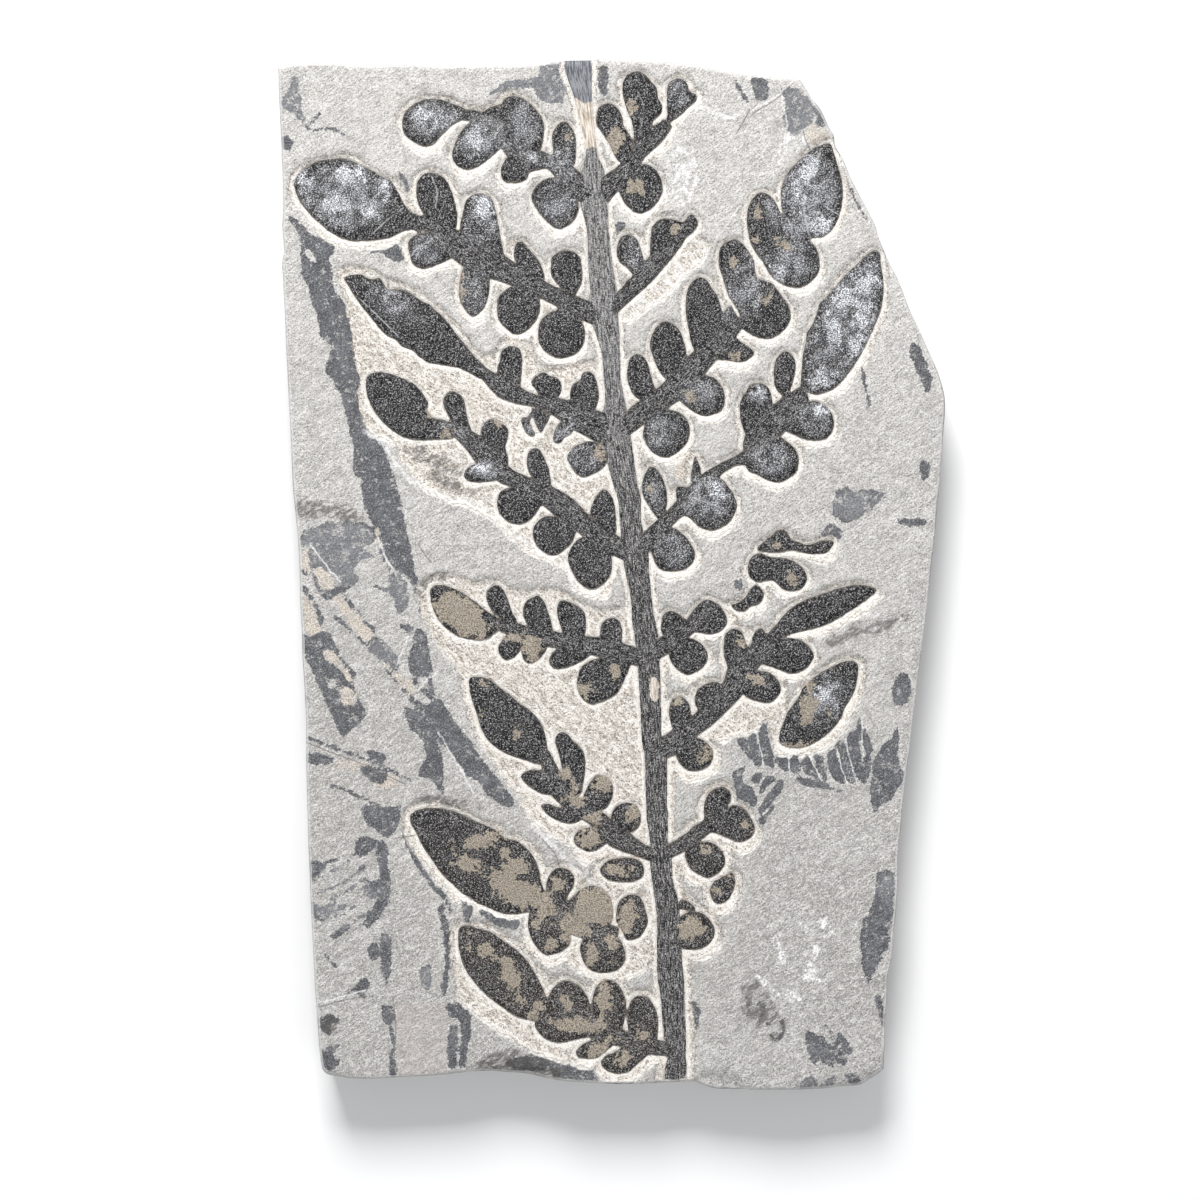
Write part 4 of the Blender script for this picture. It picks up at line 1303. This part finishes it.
# Ovals on the carbon, each x, y, half width, half height and turn: bare stone, sheens, greyed parts.
# Then veins as lines with a width.
FLAKES = [
    (568, 137, 5, 4), (457, 290, 6, 18), (446, 431, 6, 4), (498, 420, 7, 5), (434, 410, 9, 8),
    (599, 451, 8, 7),
    (461, 614, 33, 17, 38), (513, 637, 8, 6), (532, 648, 9, 13), (584, 690, 8, 8), (615, 672, 4, 5),
    (483, 683, 4, 4), (515, 733, 4, 5), (482, 714, 3, 5), (565, 775, 4, 6), (574, 786, 4, 5),
    (601, 783, 10, 8), (597, 819, 9, 6, 30), (634, 813, 8, 9), (588, 838, 13, 9), (576, 801, 9, 5),
    (618, 871, 12, 6), (480, 841, 22, 7, -14), (468, 862, 12, 9), (505, 852, 5, 12), (515, 868, 12, 9),
    (520, 892, 38, 14, 24), (546, 912, 11, 9), (560, 883, 9, 6), (597, 906, 22, 20), (576, 926, 17, 12, 20),
    (541, 922, 8, 5), (553, 945, 5, 5), (568, 938, 7, 9), (590, 955, 8, 9), (612, 945, 5, 10),
    (626, 916, 9, 14), (500, 962, 10, 6, 30), (511, 976, 12, 9, 40), (516, 1000, 9, 5), (484, 950, 8, 6),
    (470, 944, 4, 8), (541, 1005, 6, 6), (531, 1016, 9, 4), (565, 1001, 6, 7), (576, 1026, 26, 8, 10),
    (604, 1003, 8, 24), (642, 1036, 5, 7), (600, 1050, 13, 7, -30), (624, 1058, 6, 9),
    (613, 139, 11, 11, 40), (633, 110, 5, 6), (636, 187, 9, 8), (673, 226, 4, 4), (734, 262, 5, 6),
    (764, 303, 5, 5), (770, 296, 4, 4), (731, 355, 9, 4), (690, 395, 5, 5), (758, 217, 4, 5),
    (757, 240, 4, 4), (776, 238, 4, 4), (788, 247, 4, 4), (650, 492, 4, 4), (743, 642, 4, 6),
    (757, 681, 5, 4), (747, 676, 3, 3), (678, 702, 3, 3), (707, 751, 6, 9), (808, 708, 9, 13, 20),
    (810, 688, 6, 6), (828, 713, 4, 5), (790, 746, 12, 3, -6), (746, 826, 3, 4), (705, 852, 4, 4),
    (718, 891, 4, 4), (730, 882, 3, 4), (690, 928, 13, 10), (778, 545, 3, 3), (793, 578, 6, 6),
    (390, 281, 9, 5, 20),
]
SHEENS = [
    (338, 206, 12, 8, 10), (371, 213, 8, 6), (383, 187, 5, 7), (345, 176, 10, 7), (360, 172, 3, 9),
    (303, 183, 5, 8), (483, 206, 8, 13), (532, 158, 7, 6), (476, 142, 6, 11, 20), (484, 468, 7, 5),
    (808, 170, 9, 15, 10), (800, 192, 5, 12), (822, 225, 11, 10), (778, 273, 7, 6), (866, 284, 9, 16, 25),
    (861, 318, 7, 13, 20), (834, 330, 6, 15, -20), (856, 343, 8, 9, 30), (844, 298, 9, 10),
    (821, 380, 11, 7, -20),
    (760, 394, 6, 5), (822, 410, 8, 5), (718, 490, 7, 8), (858, 302, 7, 8), (428, 116, 9, 5, 10),
    (823, 694, 9, 6, -30),
]
GREYED = [
    (432, 122, 26, 20), (485, 140, 26, 24), (525, 125, 16, 24), (560, 165, 16, 24), (556, 204, 18, 18),
    (345, 195, 44, 34), (392, 302, 24, 12, 38), (455, 432, 16, 9, 35), (483, 222, 18, 26),
    (425, 250, 18, 14), (474, 290, 14, 22),
    (800, 195, 38, 44), (790, 260, 26, 20), (848, 320, 34, 66, 26), (815, 418, 18, 16), (706, 500, 26, 22),
    (678, 98, 14, 18), (585, 458, 18, 14), (530, 425, 12, 12), (565, 430, 12, 12),
    (482, 470, 16, 10), (745, 290, 22, 36, 20), (660, 432, 16, 16), (650, 495, 10, 20), (672, 550, 16, 16),
    (825, 700, 20, 26, 35), (770, 460, 20, 16), (700, 395, 18, 14), (635, 255, 10, 16),
]
VEINS = [
    (2.4, [(820, 152), (813, 172), (806, 190), (804, 208), (807, 226), (811, 240)]),
    (1.5, [(410, 257), (417, 248), (428, 242)]), (1.4, [(375, 231), (388, 219), (400, 210)]),
    (1.4, [(361, 300), (380, 318), (398, 336)]), (1.5, [(816, 198), (828, 208), (838, 214)]),
    (1.3, [(700, 500), (708, 503), (716, 506)]), (1.4, [(557, 438), (564, 431), (571, 425)]),
    (1.3, [(640, 96), (644, 108), (642, 122)]), (1.4, [(433, 180), (437, 192), (436, 204)]),
    (1.4, [(785, 215), (792, 228), (790, 244)]),
]

leaf = Finish("leaf_carbon", Roughness=0.58, Specular_IOR_Level=0.13)
inner = leaf.reads("inner")
up_slab = leaf.node("SeparateXYZ", {"Vector": leaf.place}, out="Y")
ribs = leaf.along(0.24, 3.0, 0.75, stretch=6.0)
grit = leaf.spots(0.27, 2.0, 0.8)
dashes = leaf.spots(0.34, 2.0, 0.8, turn=70.0, stretch=1.9, shift=0.8)
crinkle = leaf.spots(2.1, 2.5, 0.5, turn=60.0, stretch=1.5, shift=0.9)
blotch = leaf.spots(2.6, 3.0, 0.6, shift=0.4)

# Black, browner towards the slab's foot, greyed and with a sheen in places.
greyness = leaf.rise(leaf.ragged(leaf.reads("greyed"), 10.0, 3.0), 6.0, -8.0)
greyness = leaf.times(greyness, leaf.rise(crinkle, 0.36, 0.62, 0.15, 1.0))
glint = leaf.rise(leaf.ragged(leaf.reads("sheen"), 16.0, 1.7, 3.0), 5.0, -6.0)
carbon = leaf.mix(leaf.rise(blotch, 0.40, 0.68), (0.006, 0.006, 0.007), (0.036, 0.034, 0.035))
carbon = leaf.layers(carbon, (up_slab, -0.03, -0.08, 0.60, (0.046, 0.038, 0.031)))
carbon = leaf.mix(greyness, carbon, (0.165, 0.167, 0.176))
carbon = leaf.mix(leaf.times(glint, 0.9), carbon, (0.350, 0.356, 0.372))

# Bright and dark specks, and fine ribs on the stems.
speck_tone = leaf.sum(glint, leaf.times(greyness, 0.4))
speck_tone = leaf.mix(speck_tone, (0.430, 0.420, 0.415), (0.900, 0.910, 0.940))
worn = leaf.rise(leaf.spots(1.9, 3.0, 0.6, shift=1.3), 0.38, 0.62, 0.25, 0.9)
worn = leaf.times(leaf.sum(worn, glint), leaf.rise(dashes, 0.55, 0.65, 0.0, 0.75))
carbon = leaf.mix(worn, carbon, speck_tone)
raised = leaf.sum(grit, leaf.times(leaf.sum(glint, greyness), 0.03))
carbon = leaf.layers(
    carbon,
    (raised, 0.56, 0.63, 1.0, speck_tone),
    (grit, 0.49, 0.40, 0.90, (0.003, 0.003, 0.003)),
)
stemlike = leaf.rise(leaf.ragged(leaf.reads("stem"), 6.0, 1.5), 1.5, -5.0)
ribbed = leaf.layers(
    carbon,
    (ribs, 0.45, 0.38, 0.60, (0.006, 0.006, 0.006)),
    (ribs, 0.53, 0.64, 0.80, (0.330, 0.320, 0.312)),
)
carbon = leaf.mix(stemlike, carbon, ribbed)

# Veins, a darker rim, and brown stone where the carbon has flaked off.
vein = leaf.times(leaf.stroke("vein", 0.9, 0.4), leaf.rise(crinkle, 0.36, 0.56, 0.1, 0.7))
carbon = leaf.mix(vein, carbon, (0.440, 0.440, 0.450))
carbon = leaf.layers(carbon, (leaf.ragged(inner, 3.5, 1.6), 4.5, 1.0, 0.25, (0.010, 0.009, 0.009)))
flake_edge = leaf.ragged(leaf.ragged(leaf.reads("flake"), 14.0, 2.4, 3.0), 8.0, 0.8, 4.0, 0.5)
brown = leaf.mix(leaf.rise(grit, 0.36, 0.62), (0.110, 0.090, 0.069), (0.450, 0.398, 0.325))
carbon = leaf.layers(
    carbon,
    (flake_edge, 0.6, -0.6, 0.94, brown),
    (leaf.ragged(inner, 3.2, 1.1), 1.2, 0.3, 0.30, (0.240, 0.205, 0.170)),
)
relief = leaf.bumpy(leaf.spots(1.5, 4.0, 0.6, shift=0.1), 0.16)
relief = leaf.bumpy(leaf.times(crinkle, greyness), 0.50, relief)
relief = leaf.bumpy(leaf.sum(grit, dashes), 0.09, relief)
relief = leaf.bumpy(leaf.rise(flake_edge, -0.6, 0.6), 0.07, relief)
leaf.finish(carbon, relief)


def torn(spots, loops, seed):
    """How far each spot is outside a sheet's outlines, whose edge is slightly torn."""
    gap = distance(spots, loops, SHEET_REACH)
    return gap + (0.55 * grain(spots, 5.0, seed) + 0.35 * grain(spots, 2.3, seed + 1))


def carbon_sheet(node, seed):
    """One sheet of carbon cut to the outlines of a shoot or a loose leaflet."""
    leaves, stems = leaf_loops[node], stem_loops.get(node, [])
    loops = leaves + stems
    low = np.min([loop.min(0) for loop in loops], 0) - 3.0
    high = np.max([loop.max(0) for loop in loops], 0) + 3.0
    cells = np.ceil((high - low) * STEP / LEAF_CELL).astype(int)
    bm = bmesh.new()
    spots = unit_grid(bm, int(cells[0]), int(cells[1])) * (high - low) + low
    gap = torn(spots, loops, seed)
    bm.verts.ensure_lookup_table()
    bm.verts.index_update()
    outside = [face for face in bm.faces if min(gap[vert.index] for vert in face.verts) > -0.25
               or sum(gap[vert.index] > 0.0 for vert in face.verts) > 2]
    for vert, (x, y) in zip(bm.verts, spots):
        vert.co = (x, y, 0.0)
    bmesh.ops.delete(bm, geom=outside, context="FACES")
    bmesh.ops.delete(bm, geom=[vert for vert in bm.verts if not vert.link_faces], context="VERTS")

    # Its rim is drawn on to the outline.
    rim = [vert for vert in bm.verts if vert.is_boundary]
    spots = np.array([vert.co.xy for vert in rim])
    for _ in range(2):
        slope = np.stack([lean(spots, loops, shift, SHEET_REACH) for shift in ((0.3, 0.0), (0.0, 0.3))], 1)
        spots = spots - np.clip(torn(spots, loops, seed)[:, None], -1.2, 1.2) * slope
    for vert, (x, y) in zip(rim, spots):
        vert.co.xy = (x, y)

    # Leaflets rise to slightly different heights, and the stems stay low.
    spots = np.array([vert.co.xy for vert in bm.verts])
    height = np.zeros(len(spots))
    for i, loop in enumerate(loops):
        inside = np.clip(-distance(spots, [loop], 12.0), 0.0, None)
        pad = STEM_RISE if i >= len(leaves) else LEAF_RISE * (0.8 + 0.07 * (i % 5))
        height = np.maximum(height, pad * (1 - np.exp(-inside / 5.0)))
    height += 0.04 * MM * grain(spots, 11.0, seed + 2) + 0.02 * MM * grain(spots, 4.0, seed + 3)
    for vert, (x, y), rise in zip(bm.verts, to_metres(spots), height):
        vert.co = (x, y, FACE - EDGE_DEPTH + rise)
    middle_verts = [vert for vert in bm.verts if not vert.is_boundary]
    bmesh.ops.smooth_vert(bm, verts=middle_verts, factor=0.5, use_axis_z=True)
    close_under(bm)

    where = drawing_places(bm)
    piece = place_piece(bm, node + "_carbon", leaf, node).data
    runs = [(2.0, [(x, y) for x, y, width in run]) for run in STEMS.get(node, [])]
    across, _, along = beside(where, runs, 500.0, 4)
    vein, vein_away, _ = beside(where, VEINS)
    note(piece, across=across * STEP, along=along * STEP, vein=vein, vein_away=vein_away,
         inner=-distance(where, loops, SHEET_REACH), stem=distance(where, stems, SHEET_REACH),
         flake=gap_to_ovals(where, FLAKES), sheen=gap_to_ovals(where, SHEENS),
         greyed=gap_to_ovals(where, GREYED))


for number, node in enumerate(LEAFLETS):
    carbon_sheet(node, 20.0 + 5.0 * number)


# What the slab lies on, the light and the view: a plain pale floor, a soft window behind the
# slab's top edge, and a large weak light from the room.
VIEW_WIDTH = 240.0 * MM            # width of the view at the slab's face
VIEW_HEIGHT = 620.0 * MM           # camera above the slab's face
SENSOR = 36.0                      # camera sensor width, in mm
VIEW_SHIFT = (-2.3 * MM, -5.1 * MM)  # camera beside the slab's middle

bm = bmesh.new()
bmesh.ops.create_grid(bm, x_segments=1, y_segments=1, size=3.0)
floor = bpy.data.objects.new("floor", bpy.data.meshes.new("floor"))
bm.to_mesh(floor.data)
bm.free()
floor.location.z = -0.2 * MM
bpy.context.scene.collection.objects.link(floor)
floor.data.materials.append(Finish("floor_paint", Roughness=0.9, Base_Color=(0.80, 0.80, 0.79, 1.0)).material)


def lamp(name, place, power, size):
    """A soft square light that looks at the slab."""
    light = bpy.data.lights.new(name, "AREA")
    light.energy = power
    light.size = size
    made = bpy.data.objects.new(name, light)
    made.location = place
    made.rotation_euler = (-Vector(place)).to_track_quat("-Z", "Y").to_euler()
    bpy.context.scene.collection.objects.link(made)


lamp("window", (-0.18, 0.95, 0.80), 20.0, 0.45)
lamp("room", (0.25, -0.6, 1.3), 7.0, 1.4)
world = bpy.data.worlds.new("studio")
world.use_nodes = True
sky = world.node_tree.nodes["Background"]
sky.inputs["Color"].default_value = (0.92, 0.94, 1.0, 1.0)
sky.inputs["Strength"].default_value = 0.42
bpy.context.scene.world = world
bpy.context.scene.view_settings.view_transform = "Standard"

camera = bpy.data.objects.new("camera", bpy.data.cameras.new("camera"))
camera.data.sensor_width = SENSOR
camera.data.lens = SENSOR * VIEW_HEIGHT / VIEW_WIDTH
camera.location = (*VIEW_SHIFT, FACE + VIEW_HEIGHT)
bpy.context.scene.collection.objects.link(camera)
bpy.context.scene.camera = camera
